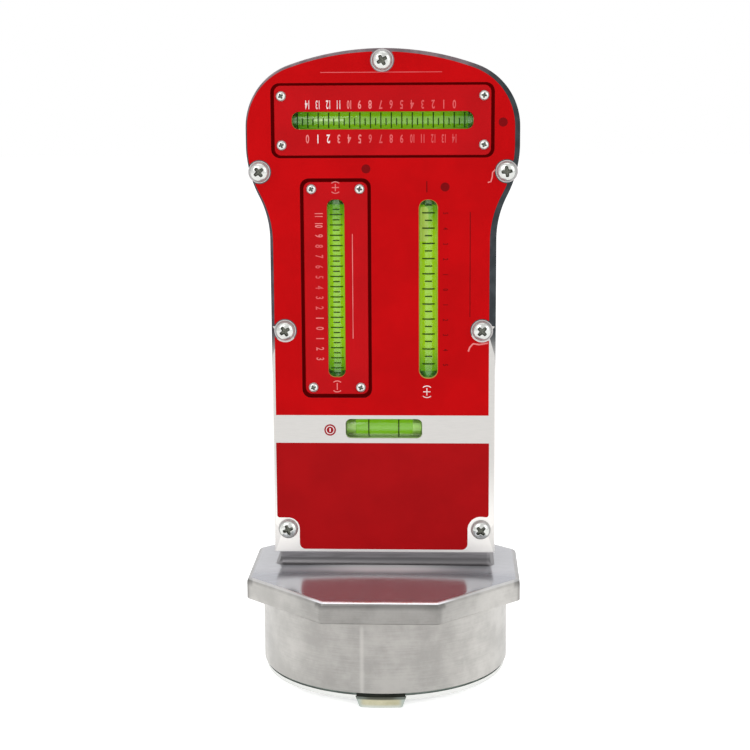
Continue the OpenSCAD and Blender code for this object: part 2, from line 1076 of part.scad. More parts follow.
module pot_screws() {
    color("gray")
    for (a = [90, 210, 330])
        rotate(a)
            translate([pot_screw_ring, 0, cup_roof - pot_floor])
                difference() {
                    union() {
                        cylinder(h = pot_screw_head_h, r1 = pot_screw_head_r,
                                 r2 = pot_screw_r, $fn = small);
                        cylinder(h = pot_screw_l, r = pot_screw_r, $fn = small);
                    }
                    translate([0, 0, -eps])
                        cylinder(h = 1.5, r = 1.5, $fn = 6);
                }
}

module centre_pin() {
    collar_top = pin_collar_z + pin_collar_t;
    color("silver")
    rotate_extrude($fn = medium)
        polygon([
            [0, pin_tip_z], [pin_nose_r, pin_tip_z], [pin_r, pin_tip_z + pin_nose],
            [pin_r, pin_collar_z], [pin_collar_r, pin_collar_z],
            [pin_collar_r, collar_top], [pin_stem_r, collar_top],
            [pin_stem_r, collar_top + pin_stem_l], [0, collar_top + pin_stem_l]
        ]);
}

module centre_spring() {
    seat = pin_collar_z + pin_collar_t + spring_seat;
    color("gray")
    translate([0, 0, seat])
        coil_spring(pin_spring, spring_bore_top - spring_seat - seat);
}

body_casting();
face_panel();
panel_screws();
caster_cover();
caster_cover_screws();
caster_holder();
caster_vial();
caster_vial_plugs();
caster_pivot_pin();
caster_adjuster();
caster_washer();
caster_clip();
caster_nut();
caster_spring();
kpi_cover();
kpi_cover_screws();
kpi_holder();
kpi_vial();
kpi_vial_plugs();
kpi_pivot_pin();
kpi_adjuster();
kpi_washer();
kpi_clip();
kpi_nut();
kpi_spring();
camber_holder();
camber_vial();
camber_vial_plugs();
camber_screws();
level_holder();
level_vial();
level_vial_plugs();
level_screws();
magnet_pot();
magnet_ring();
magnet_filler();
centre_pole();
pot_screws();
centre_pin();
centre_spring();
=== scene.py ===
"""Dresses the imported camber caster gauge: casting, printed panel, vials, screws, studio.

Every length in a table or a shape function is in millimetres, in the frame of the CAD:
+Z up along the face plate, -Y out of its face, +X to the reader's right.
"""

import functools
import math

import bmesh
import bpy
import numpy as np
from bpy.props import FloatProperty, FloatVectorProperty, PointerProperty
from mathutils import Matrix, Vector
from mathutils.geometry import tessellate_polygon


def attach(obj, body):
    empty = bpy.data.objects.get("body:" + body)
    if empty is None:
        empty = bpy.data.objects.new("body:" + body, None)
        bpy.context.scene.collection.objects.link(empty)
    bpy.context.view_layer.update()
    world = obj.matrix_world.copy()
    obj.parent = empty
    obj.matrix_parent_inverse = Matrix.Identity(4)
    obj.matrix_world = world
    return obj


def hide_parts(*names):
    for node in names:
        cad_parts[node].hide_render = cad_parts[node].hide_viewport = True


bl_info = {
    "name": "Camber caster gauge",
    "version": (1, 0, 0),
    "blender": (4, 5, 0),
    "location": "3D View > Sidebar > Gauge",
    "description": "Builds the visible pieces of a camber caster gauge on its packed frame",
    "category": "Add Mesh",
}

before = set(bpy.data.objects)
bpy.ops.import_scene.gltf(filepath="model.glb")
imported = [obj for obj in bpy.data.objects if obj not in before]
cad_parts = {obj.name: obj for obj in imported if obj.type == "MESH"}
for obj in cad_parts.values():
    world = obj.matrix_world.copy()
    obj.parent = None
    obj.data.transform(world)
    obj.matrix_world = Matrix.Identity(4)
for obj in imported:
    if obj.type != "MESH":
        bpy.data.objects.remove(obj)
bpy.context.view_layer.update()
MM = 0.001
DEGREES = math.pi / 180

# the face plate's outline
TOP_Z = 208.6
CASE_Z = 42.0
HALF_PLATE = 36.9
HALF_HEAD = 44.3
HEAD_R = 90.0
CORNER_R = 21.0
SHOULDER_R = 36.7
WAIST_R = 31.2
WAIST_Z = TOP_Z - 61.3

# depths along Y
FACE_Y = -5.1
PANEL_BACK_Y = -3.6
CASE_BACK_Y = 21.0
INNER_BACK_Y = 17.5
COVER_FRONT_Y = -4.9
COVER_BACK_Y = -3.3
VIAL_Y = 0.85
SIDE_WALL = 3.0

# heights and radii of the base
RIM_Z = 5.2
FLANGE_Z = 29.7
FLANGE_TOP_Z = 37.0
FLANGE_HALF = 45.0
CUP_R = 41.2
CUP_BORE_R = 37.5
POT_Z = 24.0

# centres on the face, as x and z, openings, as width and height, and screws
KPI_AT = (0.0, 185.7)
CASTER_AT = (-15.4, 131.0)
CAMBER_AT = (14.8, 130.8)
LEVEL_AT = (0.0, 84.4)
CARRIER_SLOT = (5.6, 58.6)
CAMBER_SLOT = (5.9, 58.6)
LEVEL_WINDOW = (25.3, 6.3)
PIVOT_FROM_MIDDLE = 28.0
KNOB_FROM_MIDDLE = 27.0
PANEL_SCREWS = [  # x, z and the turn of the cross recess
    (0.0, 204.8, 30.0), (40.1, 169.3, 6.0), (-40.1, 169.3, 38.0), (32.4, 117.3, 45.0),
    (-32.4, 117.3, 32.0), (32.3, 50.0, 42.0), (-32.3, 50.0, 20.0),
]
RINGED_SCREWS = PANEL_SCREWS[:5]
SMALL_SCREW = (7.85, 32.7)  # from the middle of the caster cover

# the marks of the vials: the place of a row's first mark, and the steps
KPI_FIRST_X = -24.27
CASTER_FIRST_Z = 155.3
CAMBER_FIRST_Z = 155.8
MARK_PITCH = 3.385
HALF_PITCH = 1.69
CAMBER_PITCH = 4.99

# each vial's name, body, place, direction and length
VIALS = [
    ("kpi", "kpi_carrier", KPI_AT, "X", 61.0),
    ("caster", "caster_carrier", CASTER_AT, "Z", 61.0),
    ("camber", "housing", CAMBER_AT, "Z", 61.0),
    ("level", "housing", LEVEL_AT, "X", 25.0),
]

# the print: half its thickness, how far it stands out of its sheet, and its pale colours
INK = 0.02
LIFT = 0.005
PALE_PRINTS = ["white_print", "pink_print", "faint_print"]


def srgb(red, green, blue):
    """A colour written as 0 to 255 on the screen, as linear light."""
    c = np.array([red, green, blue]) / 255
    return tuple(np.where(c <= 0.04045, c / 12.92, ((c + 0.055) / 1.055) ** 2.4))


# ---- sizes and colours that a user would change ----


def length(name, about, default, most=20.0):
    """A size that is shown in the scene's unit. default and most are millimetres."""
    return FloatProperty(name=name, description=about, default=default * MM,
                         min=0.0, max=most * MM, unit="LENGTH", subtype="DISTANCE")


def colour(name, about, value):
    """A colour from three values of 0 to 255 on the screen."""
    return FloatVectorProperty(name=name, description=about, default=srgb(*value),
                               min=0.0, max=1.0, size=3, subtype="COLOR")


class GaugeSizes(bpy.types.PropertyGroup):
    """Sizes of the finish that the CAD leaves plain"""

    cast_edge: length("Cast edge", "Radius of the casting's back edge", 2.4)
    flange_edge: length("Flange edge", "Radius of the flange's ground edge", 1.4)
    sheet_edge: length("Sheet edge", "Radius of the punched sheets' front edge", 0.22)
    neck_fillet: length("Neck fillet", "Radius of the fillet at the neck's foot", 2.2)
    flange_sag: length("Flange sag", "How far the polished flange drops to its edge", 0.2)
    print_rise: length("Print rise", "Thickness of the printed colour", 0.03)
    tick_width: length("Tick width", "Width of the marks on the vials", 0.4)
    figure_height: length("Figure height", "Height of the figures of the dials", 2.8)
    knurl_depth: length("Knurl depth", "Depth of the knobs' knurling", 0.4)


class GaugeColours(bpy.types.PropertyGroup):
    """Colours of the finishes"""

    upper_print: colour("Upper print", "Red of the panel's upper field", (202, 6, 12))
    lower_print: colour("Lower print", "Red of the panel's lower field", (178, 15, 20))
    cover_print: colour("Cover print", "Red of the two cover plates", (199, 12, 20))
    dark_print: colour("Dark print", "Faint dark marks on the red", (132, 8, 14))
    figures: colour("Figures", "White of the figures", (255, 246, 245))
    sheet: colour("Sheet", "Bare brushed sheet", (196, 194, 191))
    casting: colour("Casting", "Satin casting", (184, 182, 178))
    liquid: colour("Liquid", "Liquid in the middle of a vial", (170, 219, 44))
    liquid_end: colour("Liquid end", "Liquid towards a vial's ends", (94, 162, 32))
    mark: colour("Mark", "Marks on the vials", (28, 62, 16))
    zinc: colour("Zinc", "Plated screws", (206, 208, 204))


def size(name):
    """One of the sizes above, in millimetres."""
    return getattr(bpy.context.scene.gauge_sizes, name) / MM


def paint(value):
    """Linear light of a colour: the name of one above, or three values from 0 to 255."""
    if isinstance(value, str):
        return tuple(getattr(bpy.context.scene.gauge_colours, value))
    return srgb(*value)


# ---- shapes as functions of two parameters ----


class Shape:
    """Points and faces gathered from several surfaces into one mesh."""

    def __init__(self):
        self.points, self.faces, self.tags = [], [], []

    def join(self, faces, tag=0):
        """Adds faces between points that it has. tag picks the material slot, as one
        number or one for each face."""
        self.faces.extend(np.asarray(face).tolist() for face in faces)
        self.tags.extend(np.broadcast_to(tag, len(faces)).tolist())

    def add(self, points, faces, tag=0):
        """Adds a surface, whose faces count its own points. Returns the number of its
        first point."""
        first = sum(len(each) for each in self.points)
        self.points.append(np.asarray(points, float).reshape(-1, 3))
        self.join([face + first for face in faces], tag)
        return first


def grid_faces(rows, cols, wrap_rows=False):
    """Quads between neighbours of a grid of points that is stored row by row and closed
    round each row."""
    i, j = np.meshgrid(np.arange(rows if wrap_rows else rows - 1), np.arange(cols),
                       indexing="ij")
    i, j = i.ravel(), j.ravel()
    up, side = (i + 1) % rows, (j + 1) % cols
    return np.stack([i * cols + j, i * cols + side, up * cols + side, up * cols + j], -1)


def arc(centre, radius, start, stop, steps):
    """Points on a circle between two angles in degrees: centre + r (cos a, sin a)."""
    a = np.linspace(start * DEGREES, stop * DEGREES, steps + 1)
    return np.stack([centre[0] + radius * np.cos(a), centre[1] + radius * np.sin(a)], -1)


def full_turn(sides):
    """Angles of equal steps once round, the last one left out."""
    return np.linspace(0, 2 * math.pi, sides, endpoint=False)


def plate_loop(inset=0.0):
    """Outline of the face plate, moved inwards by inset: a straight lower side, a hollow
    waist arc, a round shoulder, a short straight, a corner arc and the crown, each
    tangent to the next, and the same mirrored. Runs anticlockwise from the lower right."""
    waist_x, shoulder_x = HALF_PLATE + WAIST_R, HALF_HEAD - SHOULDER_R
    across = waist_x - shoulder_x
    rise = math.sqrt((WAIST_R + SHOULDER_R) ** 2 - across**2)
    turn = math.atan2(rise, across) / DEGREES
    crown_z, corner_x = TOP_Z - HEAD_R, HALF_HEAD - CORNER_R
    corner_dz = math.sqrt((HEAD_R - CORNER_R) ** 2 - corner_x**2)
    lean = math.atan2(corner_dz, corner_x) / DEGREES
    side = np.linspace(CASE_Z + inset, WAIST_Z, 12)[:-1]
    right = np.concatenate([
        np.stack([np.full_like(side, HALF_PLATE - inset), side], -1),
        arc((waist_x, WAIST_Z), WAIST_R + inset, 180, 180 - turn, 14)[:-1],
        arc((shoulder_x, WAIST_Z + rise), SHOULDER_R - inset, -turn, 0, 14),
        arc((corner_x, crown_z + corner_dz), CORNER_R - inset, 0, lean, 24),
        arc((0, crown_z), HEAD_R - inset, lean, 90, 22)[1:-1],
    ])
    return np.concatenate([right, right[::-1] * (-1, 1)])


def rect_loop(at, w, h, r, steps=8):
    """Returns a function of inset for a rectangle with round corners about a place."""

    def loop(inset=0.0):
        radius = max(r - inset, 0.001)
        x, z = w / 2 - inset - radius, h / 2 - inset - radius
        return np.concatenate([
            arc((at[0] + sx * x, at[1] + sz * z), radius, a, a + 90, steps)
            for sx, sz, a in ((1, -1, -90), (1, 1, 0), (-1, 1, 90), (-1, -1, 180))])

    return loop


def round_loop(at, r, steps):
    """Returns a function of inset for a circle about a place."""
    return rect_loop(at, 2 * r, 2 * r, r, steps)


def rounding(edge, steps, front_y, sign=1):
    """Rows of (inset, y) round an edge: a quarter circle from the face to the side,
    after one narrow row that keeps the shading of the face flat."""
    centre = (edge, front_y + sign * edge)
    return [(edge * 1.5, front_y), *arc(centre, edge, -90 * sign, -180 * sign, steps)]


def carried(shape, loop, rows, tag=0, outwards=1, axis=1):
    """Carries a profile round an outline: each row is an inset and a place along an axis,
    0 for X to 2 for Z. Returns the numbers of the points of its first and last ring."""
    points = np.concatenate([np.insert(loop(outwards * inset), axis, place, axis=1)
                             for inset, place in rows])
    cols = len(points) // len(rows)
    first = shape.add(points, grid_faces(len(rows), cols), tag)
    return [first + row * cols + np.arange(cols) for row in (0, len(rows) - 1)]


def lid(shape, rings, tag=0):
    """Fills the flat area inside the first ring of points and outside the others."""
    points = np.concatenate(shape.points)
    loops = [[Vector(points[i]) for i in ring] for ring in rings]
    shape.join(np.concatenate(rings)[np.array(tessellate_polygon(loops))], tag)


def closed(shape, loop, rows, tags, axis=2):
    """A profile carried round an outline, with both ends filled. tags has one number for
    each gap between two rows."""
    ends = carried(shape, loop, rows, np.repeat(tags, len(loop())), axis=axis)
    lid(shape, ends[:1], tags[0])
    lid(shape, ends[1:], tags[-1])


def slab(shape, outline, holes, front_y, back_y, edge, steps=3, tags=()):
    """A flat plate with holes: its front edge is rounded, its back edge square. tags
    gives the holes' tags, for the rounded edge and for the wall, where they aren't 0."""
    rows = rounding(edge, steps, front_y) + [(0, back_y)]
    ends = [carried(shape, outline, rows)]
    for k, hole in enumerate(holes):
        rim, wall = tags[k] if k < len(tags) else (0, 0)
        row_tags = np.repeat([rim] * (len(rows) - 2) + [wall], len(hole()))
        ends.append(carried(shape, hole, rows, row_tags, -1))
    for side in (0, 1):
        lid(shape, [end[side] for end in ends])


def placed(u, v, w, axis, at):
    """Turns local u, v and height w to an axis of the frame and moves them to a place."""
    order = {"Z": (u, v, w), "Y": (u, w, v), "X": (w, u, v)}[axis]
    return np.stack([c + o for c, o in zip(order, at)], -1).reshape(-1, 3)


def spun(shape, radius, height, axis="Z", at=(0, 0, 0), tags=0, tube=False):
    """Adds r cos a, r sin a, h for a grid of radii and heights: one row for each ring."""
    rows, sides = radius.shape
    a = full_turn(sides)
    shape.add(placed(radius * np.cos(a), radius * np.sin(a), height, axis, at),
              grid_faces(rows, sides, tube), tags)


def turned(shape, profile, sides, axis="Z", at=(0, 0, 0), **more):
    """A profile of (radius, height) rows turned round an axis. A tube's profile is a
    closed loop; any other starts and ends on the axis."""
    radius, height = (np.repeat(column[:, None], sides, 1)
                      for column in np.asarray(profile, float).T)
    spun(shape, radius, height, axis, at, **more)


def both_ends(end):
    """A profile's upper end, after the same end mirrored to the bottom."""
    return [*(end[::-1] * (1, -1)), *end]


def put(name, data):
    """Adds an object to the scene."""
    obj = bpy.data.objects.new(name, data)
    bpy.context.scene.collection.objects.link(obj)
    return obj


def piece(name, shape, body, finishes, stands_for=(), crease=38.0):
    """Makes one mesh object of a shape, in metres, that rides on a body. Doubles are
    merged and the faces are turned outwards."""
    mesh = bpy.data.meshes.new(name)
    mesh.from_pydata((np.concatenate(shape.points) * MM).tolist(), [], shape.faces)
    mesh.polygons.foreach_set("material_index", np.array(shape.tags, np.int32))
    work = bmesh.new()
    work.from_mesh(mesh)
    bmesh.ops.remove_doubles(work, verts=work.verts, dist=2e-6)
    bmesh.ops.dissolve_degenerate(work, edges=work.edges, dist=1e-7)
    bmesh.ops.recalc_face_normals(work, faces=work.faces)
    work.to_mesh(mesh)
    work.free()
    mesh.shade_smooth()
    mesh.set_sharp_from_angle(angle=crease * DEGREES)
    for each in finishes:
        mesh.materials.append(finish(each))
    obj = put(name, mesh)
    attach(obj, body)
    if stands_for:
        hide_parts(*stands_for)


def printed(name, shape, finishes, stands_for=(), body="housing"):
    """A thin piece of a sheet or its print, whose edges stay sharp."""
    piece(name, shape, body, finishes, stands_for, crease=30)


# ---- finishes ----


class Nodes:
    """Adds nodes to a tree. What adds a node returns one of its outputs."""

    def __init__(self, tree):
        self.tree = tree

    def feed(self, node, values):
        """Joins or sets a node's inputs, by number or name."""
        for key, value in values.items():
            if isinstance(value, bpy.types.NodeSocket):
                self.tree.links.new(value, node.inputs[key])
            else:
                node.inputs[key].default_value = value

    def node(self, kind, values, output=0, **settings):
        """Any shader node, with its settings and what its inputs get."""
        made = self.tree.nodes.new("ShaderNode" + kind)
        for key, value in settings.items():
            setattr(made, key, value)
        self.feed(made, values)
        return made.outputs[output]

    def math(self, how, *values):
        """One step of arithmetic on one or two values, such as ADD or MAXIMUM."""
        return self.node("Math", dict(enumerate(values)), operation=how)

    def plus(self, a, b):
        """a plus b"""
        return self.math("ADD", a, b)

    def times(self, a, b):
        """a times b"""
        return self.math("MULTIPLY", a, b)

    def unsigned(self, value):
        """A value without its sign."""
        return self.math("ABSOLUTE", value)

    def rays(self, *names):
        """1 for the rays of these kinds, the greatest of their outputs."""
        seen = [self.node("LightPath", {}, f"Is {name} Ray") for name in names]
        return functools.reduce(lambda a, b: self.math("MAXIMUM", a, b), seen)

    def span(self, value, start=0.0, stop=1.0, low=0.0, high=1.0):
        """Maps start..stop of a value to low..high, smoothly and without overshoot."""
        return self.node("MapRange", {
            "Value": value, "From Min": start, "From Max": stop, "To Min": low,
            "To Max": high}, interpolation_type="SMOOTHSTEP")

    def zone(self, place, start, stop, low=0.0, high=1.0):
        """A span along a coordinate, from start to stop in millimetres."""
        return self.span(place, start * MM, stop * MM, low, high)

    def blend(self, factor, low, high, **settings):
        """Mixes two colours by a factor."""
        low, high = ((*c, 1.0) if isinstance(c, tuple) else c for c in (low, high))
        return self.node("Mix", {0: factor, 6: low, 7: high}, 2, data_type="RGBA", **settings)

    def tint(self, tone, factor):
        """A colour made darker or lighter."""
        return self.blend(1.0, tone, (factor,) * 3, blend_type="MULTIPLY")

    def toned(self, where, tone, factor):
        """A colour made darker or lighter in a zone."""
        return self.blend(where, tone, self.tint(tone, factor))

    def mottle(self, pattern, base, dark, light, start=0.3, stop=0.7):
        """A base colour that a pattern takes from dark to light times its value."""
        return self.blend(self.span(pattern, start, stop), shade(base, dark), shade(base, light))


class Finish(Nodes):
    """A material that is built up node by node on object coordinates x, y and z."""

    def __init__(self, name, base, rough, metal=0.0, shine=0.5):
        self.material = bpy.data.materials.new(name)
        self.material.use_nodes = True
        super().__init__(self.material.node_tree)
        self.place = self.node("TexCoord", {}, "Object")
        self.x, self.y, self.z = (self.node("SeparateXYZ", {0: self.place}, k)
                                  for k in range(3))
        self.wear({"Base Color": (*base, 1.0), "Roughness": rough, "Metallic": metal,
                   "Specular IOR Level": shine})

    def wear(self, values):
        """Joins or sets inputs of the surface."""
        self.feed(self.tree.nodes["Principled BSDF"], values)

    def noise(self, scale, stretch=(1, 1, 1), detail=3.0, rough=0.5):
        """Noise from 0 to 1. scale is in cells a metre, stretch multiplies each axis."""
        where = self.node("Mapping", {"Vector": self.place, "Scale": stretch})
        return self.node("TexNoise", {
            "Vector": where, "Scale": scale, "Detail": detail, "Roughness": rough})

    def made(self, tone, rough=None, height=None, depth_mm=0.0):
        """Joins the colour, the roughness and a bump, and returns the material. Where the
        bump's height is 1, the surface is depth_mm higher."""
        self.wear({"Base Color": tone})
        if rough:
            self.wear({"Roughness": rough})
        if height:
            self.wear({"Normal": self.node("Bump", {"Height": height,
                                                    "Distance": depth_mm * MM})})
        return self.material


def shade(value, factor):
    """A linear colour made darker or lighter."""
    return tuple(min(1.0, c * factor) for c in value)


def satin_casting(name):
    """Cast aluminium, finely brushed along the level lines, with cloudy patches. Painted
    shade makes it darker towards the front and on the flange's four flat faces. The
    flange's upper edge has a painted highlight with a band of painted shade under it,
    and a painted highlight line runs down the cup."""
    base = paint("casting")
    f = Finish(name, base, 0.34, 1.0)
    lines = f.noise(110, (1, 1, 26), 4, 0.6)
    cloud = f.noise(75, (1.2, 1, 1.1), 5, 0.62)
    wide = f.unsigned(f.x)
    reach = f.math("MAXIMUM", wide, f.unsigned(f.y))
    mixed = f.plus(f.times(lines, 0.3), f.times(cloud, 0.7))
    tone = f.mottle(mixed, base, 0.85, 1.13, 0.36, 0.64)
    # painted shade: darker towards the front and on the flange's four flat faces
    tone = f.toned(f.zone(f.y, -43, -24, 1, 0), tone, 0.74)
    tone = f.toned(f.zone(reach, 43.6, 44.8), tone, 0.8)
    tone = f.toned(f.zone(wide, 43.6, 44.8), tone, 0.8)
    # painted shade: a dark band under the flange's upper edge
    under = f.times(f.zone(f.z, 33.9, 35.6), f.zone(reach, 42.6, 43.4))
    tone = f.toned(under, tone, 0.62)
    # painted highlight: near white along the flange's upper edge
    crest_highlight = f.times(f.zone(f.z, 36.2, 36.45), f.zone(f.y, -43.5, -38, 1, 0.3))
    tone = f.blend(crest_highlight, tone, srgb(240, 240, 244))
    # painted highlight: a bright line down the cup's front
    off_cup_highlight = f.unsigned(f.plus(f.x, 6 * MM))
    cup_highlight_line = f.times(f.zone(off_cup_highlight, 0, 1.1, 1, 0), f.zone(f.z, 26, 29, 1, 0))
    cup_highlight_line = f.times(cup_highlight_line, f.zone(f.y, -40, -30, 0.4, 0))
    return f.made(f.blend(cup_highlight_line, tone, shade(base, 1.2)), f.span(lines, 0.3, 0.7, 0.28, 0.44),
                  f.plus(lines, cloud), 0.01)


def cast_skin(name):
    """The case's as-cast skin: fine grain with slow shade changes."""
    base = shade(paint("casting"), 0.84)
    f = Finish(name, base, 0.46, 1.0)
    grain, cloud = f.noise(1500), f.noise(38)
    mixed = f.plus(f.times(cloud, 0.6), f.times(grain, 0.4))
    return f.made(f.mottle(mixed, base, 0.9, 1.06, 0.35, 0.65),
                  f.span(grain, 0.3, 0.7, 0.42, 0.58), grain, 0.06)


def polished_casting(name):
    """The flange's polished top, with a painted bright sheen on a dull band before the
    neck. Its bump lets the surface climb towards the neck, most of all in the middle,
    which bends what it mirrors."""
    base = srgb(174, 176, 183)
    f = Finish(name, base, 0.17, 0.7)
    swirl = f.noise(240, (1, 5, 1))
    rough = f.plus(f.span(swirl, 0.35, 0.65, 0.11, 0.16), f.zone(f.y, -38, -14, 0, 0.04))
    # painted sheen: a bright, less metallic band before the neck
    band = f.times(f.zone(f.y, -17, -7), f.zone(f.unsigned(f.x), 4, 30, 1, 0.4))
    tone = f.mottle(swirl, base, 0.93, 1.05, 0.35, 0.65)
    f.wear({"Metallic": f.span(band, 0, 1, 0.7, 0.1)})
    climb = f.node("MapRange", {"Value": f.y, "From Min": -43 * MM, "From Max": -2 * MM})
    across = f.times(f.x, 1 / 30 / MM)
    bulge = f.math("SUBTRACT", 1.0, f.times(f.times(across, across), 0.45))
    height = f.times(f.times(climb, climb), bulge)
    return f.made(f.blend(band, tone, srgb(218, 216, 218)), rough,
                  f.plus(height, f.times(swirl, 0.00014)), 2.2)


def neck_metal(name):
    """The neck, darkened by painted shade under the panel, with fine level scratches: a
    painted highlight at its upper edge, painted shade darkest below the middle and a
    little lighter at its foot."""
    base = srgb(128, 126, 128)
    f = Finish(name, base, 0.4, 1.0)
    lines = f.noise(110, (1, 1, 30), 3, 0.6)
    tone = f.mottle(lines, base, 0.86, 1.14, 0.34, 0.66)
    # painted light and shade along the neck: highlight at the top, shade below the middle,
    # lighter at the foot
    for zone, factor in (((40.4, 41.4, 0, 0.6), 1.9), ((38.8, 39.6, 1, 0), 0.6),
                         ((37.3, 38.2, 1, 0), 1.1)):
        tone = f.blend(f.zone(f.z, *zone), tone, shade(base, factor))
    return f.made(tone, None, lines, 0.01)


def bare_sheet(name):
    """Panel sheet where it isn't printed: fine level brushing, and painted light that makes it
    brighter at the bottom.
    """
    base = paint("sheet")
    f = Finish(name, base, 0.34, 1.0)
    lines = f.noise(240, (1, 1, 26), 3, 0.6)
    # painted light: brighter at the bottom of the sheet
    tone = f.blend(f.zone(f.z, 48, 76, 1, 0), f.mottle(lines, base, 0.95, 1.04),
                   shade(base, 1.5))
    return f.made(tone, f.span(lines, 0.3, 0.7, 0.28, 0.42), lines, 0.004)


def sheet_rim(name):
    """The bare edge band round the print, with a painted reflection: dark on the head's
    sides, grey on the crown, bright below the waist."""
    base = shade(paint("sheet"), 1.3)
    f = Finish(name, base, 0.38, 1.0)
    # painted reflection: dark on the head's sides, grey on the crown
    tone = f.blend(f.zone(f.z, 178, 196), srgb(74, 72, 76), srgb(116, 103, 107))
    tone = f.blend(f.zone(f.x, 22, 40), tone, srgb(56, 61, 64))
    tone = f.blend(f.span(f.noise(260), 0.35, 0.65), f.tint(tone, 0.82), f.tint(tone, 1.2))
    return f.made(f.blend(f.zone(f.z, 100, 118), base, tone))


def print_ink(name, value, shine=0.1, rough=0.5):
    """Screen-printed colour: a trace of mottling, hardly any shine."""
    base = paint(value)
    f = Finish(name, base, rough, shine=shine)
    return f.made(f.mottle(f.noise(70, detail=4), base, 0.93, 1.06), None,
                  f.noise(1400, detail=2), 0.002)


def worn_print(name, value):
    """Pale print on the red that has faded a little in soft patches."""
    base = paint(value)
    f = Finish(name, base, 0.5, shine=0.1)
    faded = tuple(0.72 * a + 0.28 * b for a, b in zip(base, paint("cover_print")))
    return f.made(f.blend(f.span(f.noise(160, detail=2), 0.36, 0.62), base, faded))


def liquid(name, axis, middle, half, strength):
    """Dyed liquid with a painted glow, giving off light though it is no lamp: yellow-green
    in the middle of its vial, deeper green at the ends."""
    mid, end = (tuple(np.multiply(paint(value), strength))
                for value in ("liquid", "liquid_end"))
    f = Finish(name, mid, 0.25, shine=0.1)
    away = f.unsigned(f.plus(getattr(f, axis), -middle * MM))
    tone = f.blend(f.zone(away, half * 0.55, half), mid, end)
    # painted glow: the liquid gives off light of its own
    f.wear({"Emission Color": tone, "Emission Strength": 2.4})
    return f.made(tone)


def clear_tube(name):
    """The vial's tube: clear, and it lets the lamps through to the liquid."""
    f = Finish(name, srgb(244, 252, 232), 0.03, shine=0.2)
    f.wear({"Transmission Weight": 1.0, "IOR": 1.46})
    lamp = f.node("LightPath", {}, "Is Shadow Ray")
    clear = f.node("BsdfTransparent", {"Color": (0.93, 0.97, 0.88, 1)})
    glass = f.tree.nodes["Principled BSDF"].outputs[0]
    f.feed(f.tree.nodes["Material Output"], {
        "Surface": f.node("MixShader", {0: lamp, 1: glass, 2: clear})})
    return f.material


def plated(name, value, rough, grain=500, depth=0.01, spread=0.08, metal=1.0):
    """Plated or machined metal with a fine uneven grain."""
    base = paint(value)
    f = Finish(name, base, rough, metal)
    g = f.noise(grain)
    return f.made(f.mottle(g, base, 1 - spread, 1 + spread),
                  f.span(g, 0.3, 0.7, rough * 0.8, rough * 1.25), g, depth)


def inner_skin(name):
    """The inside of the case, as it shows through the gaps round the covers: a painted
    dark red tone and a faint painted red glow, standing in for light that comes back
    from the print's edges."""
    # painted shade and light: a dark red tone and a faint painted red glow
    f = Finish(name, srgb(120, 24, 24), 0.7, shine=0.05)
    f.wear({"Emission Color": (*srgb(190, 10, 14), 1.0), "Emission Strength": 0.14})
    return f.material


def foot_steel(name):
    """The feet: beige towards the middle, light grey towards their lower edge and their
    ends, and a painted shadow of the rim at the top, dark greenish grey."""
    f = Finish(name, srgb(184, 180, 154), 0.24, 1.0)
    wide = f.unsigned(f.x)
    tone = f.blend(f.span(f.noise(160), 0.3, 0.7), srgb(172, 168, 140), srgb(196, 192, 166))
    tone = f.blend(f.zone(f.z, 0.5, 1.8, 1, 0), tone, srgb(192, 196, 190))
    ends = f.times(f.zone(wide, 5.4, 7.2), f.zone(f.y, -30, -20, 1, 0))
    tone = f.blend(ends, tone, srgb(170, 178, 172))
    # painted shadow under the rim, darkest in the middle
    shadow = f.blend(f.zone(wide, 3, 6.4), srgb(80, 82, 74), srgb(106, 112, 106))
    return f.made(f.blend(f.zone(f.z, 2.9, 3.5), tone, shadow))


PLAIN = [satin_casting, cast_skin, polished_casting, neck_metal, bare_sheet, sheet_rim,
         inner_skin, clear_tube, foot_steel]
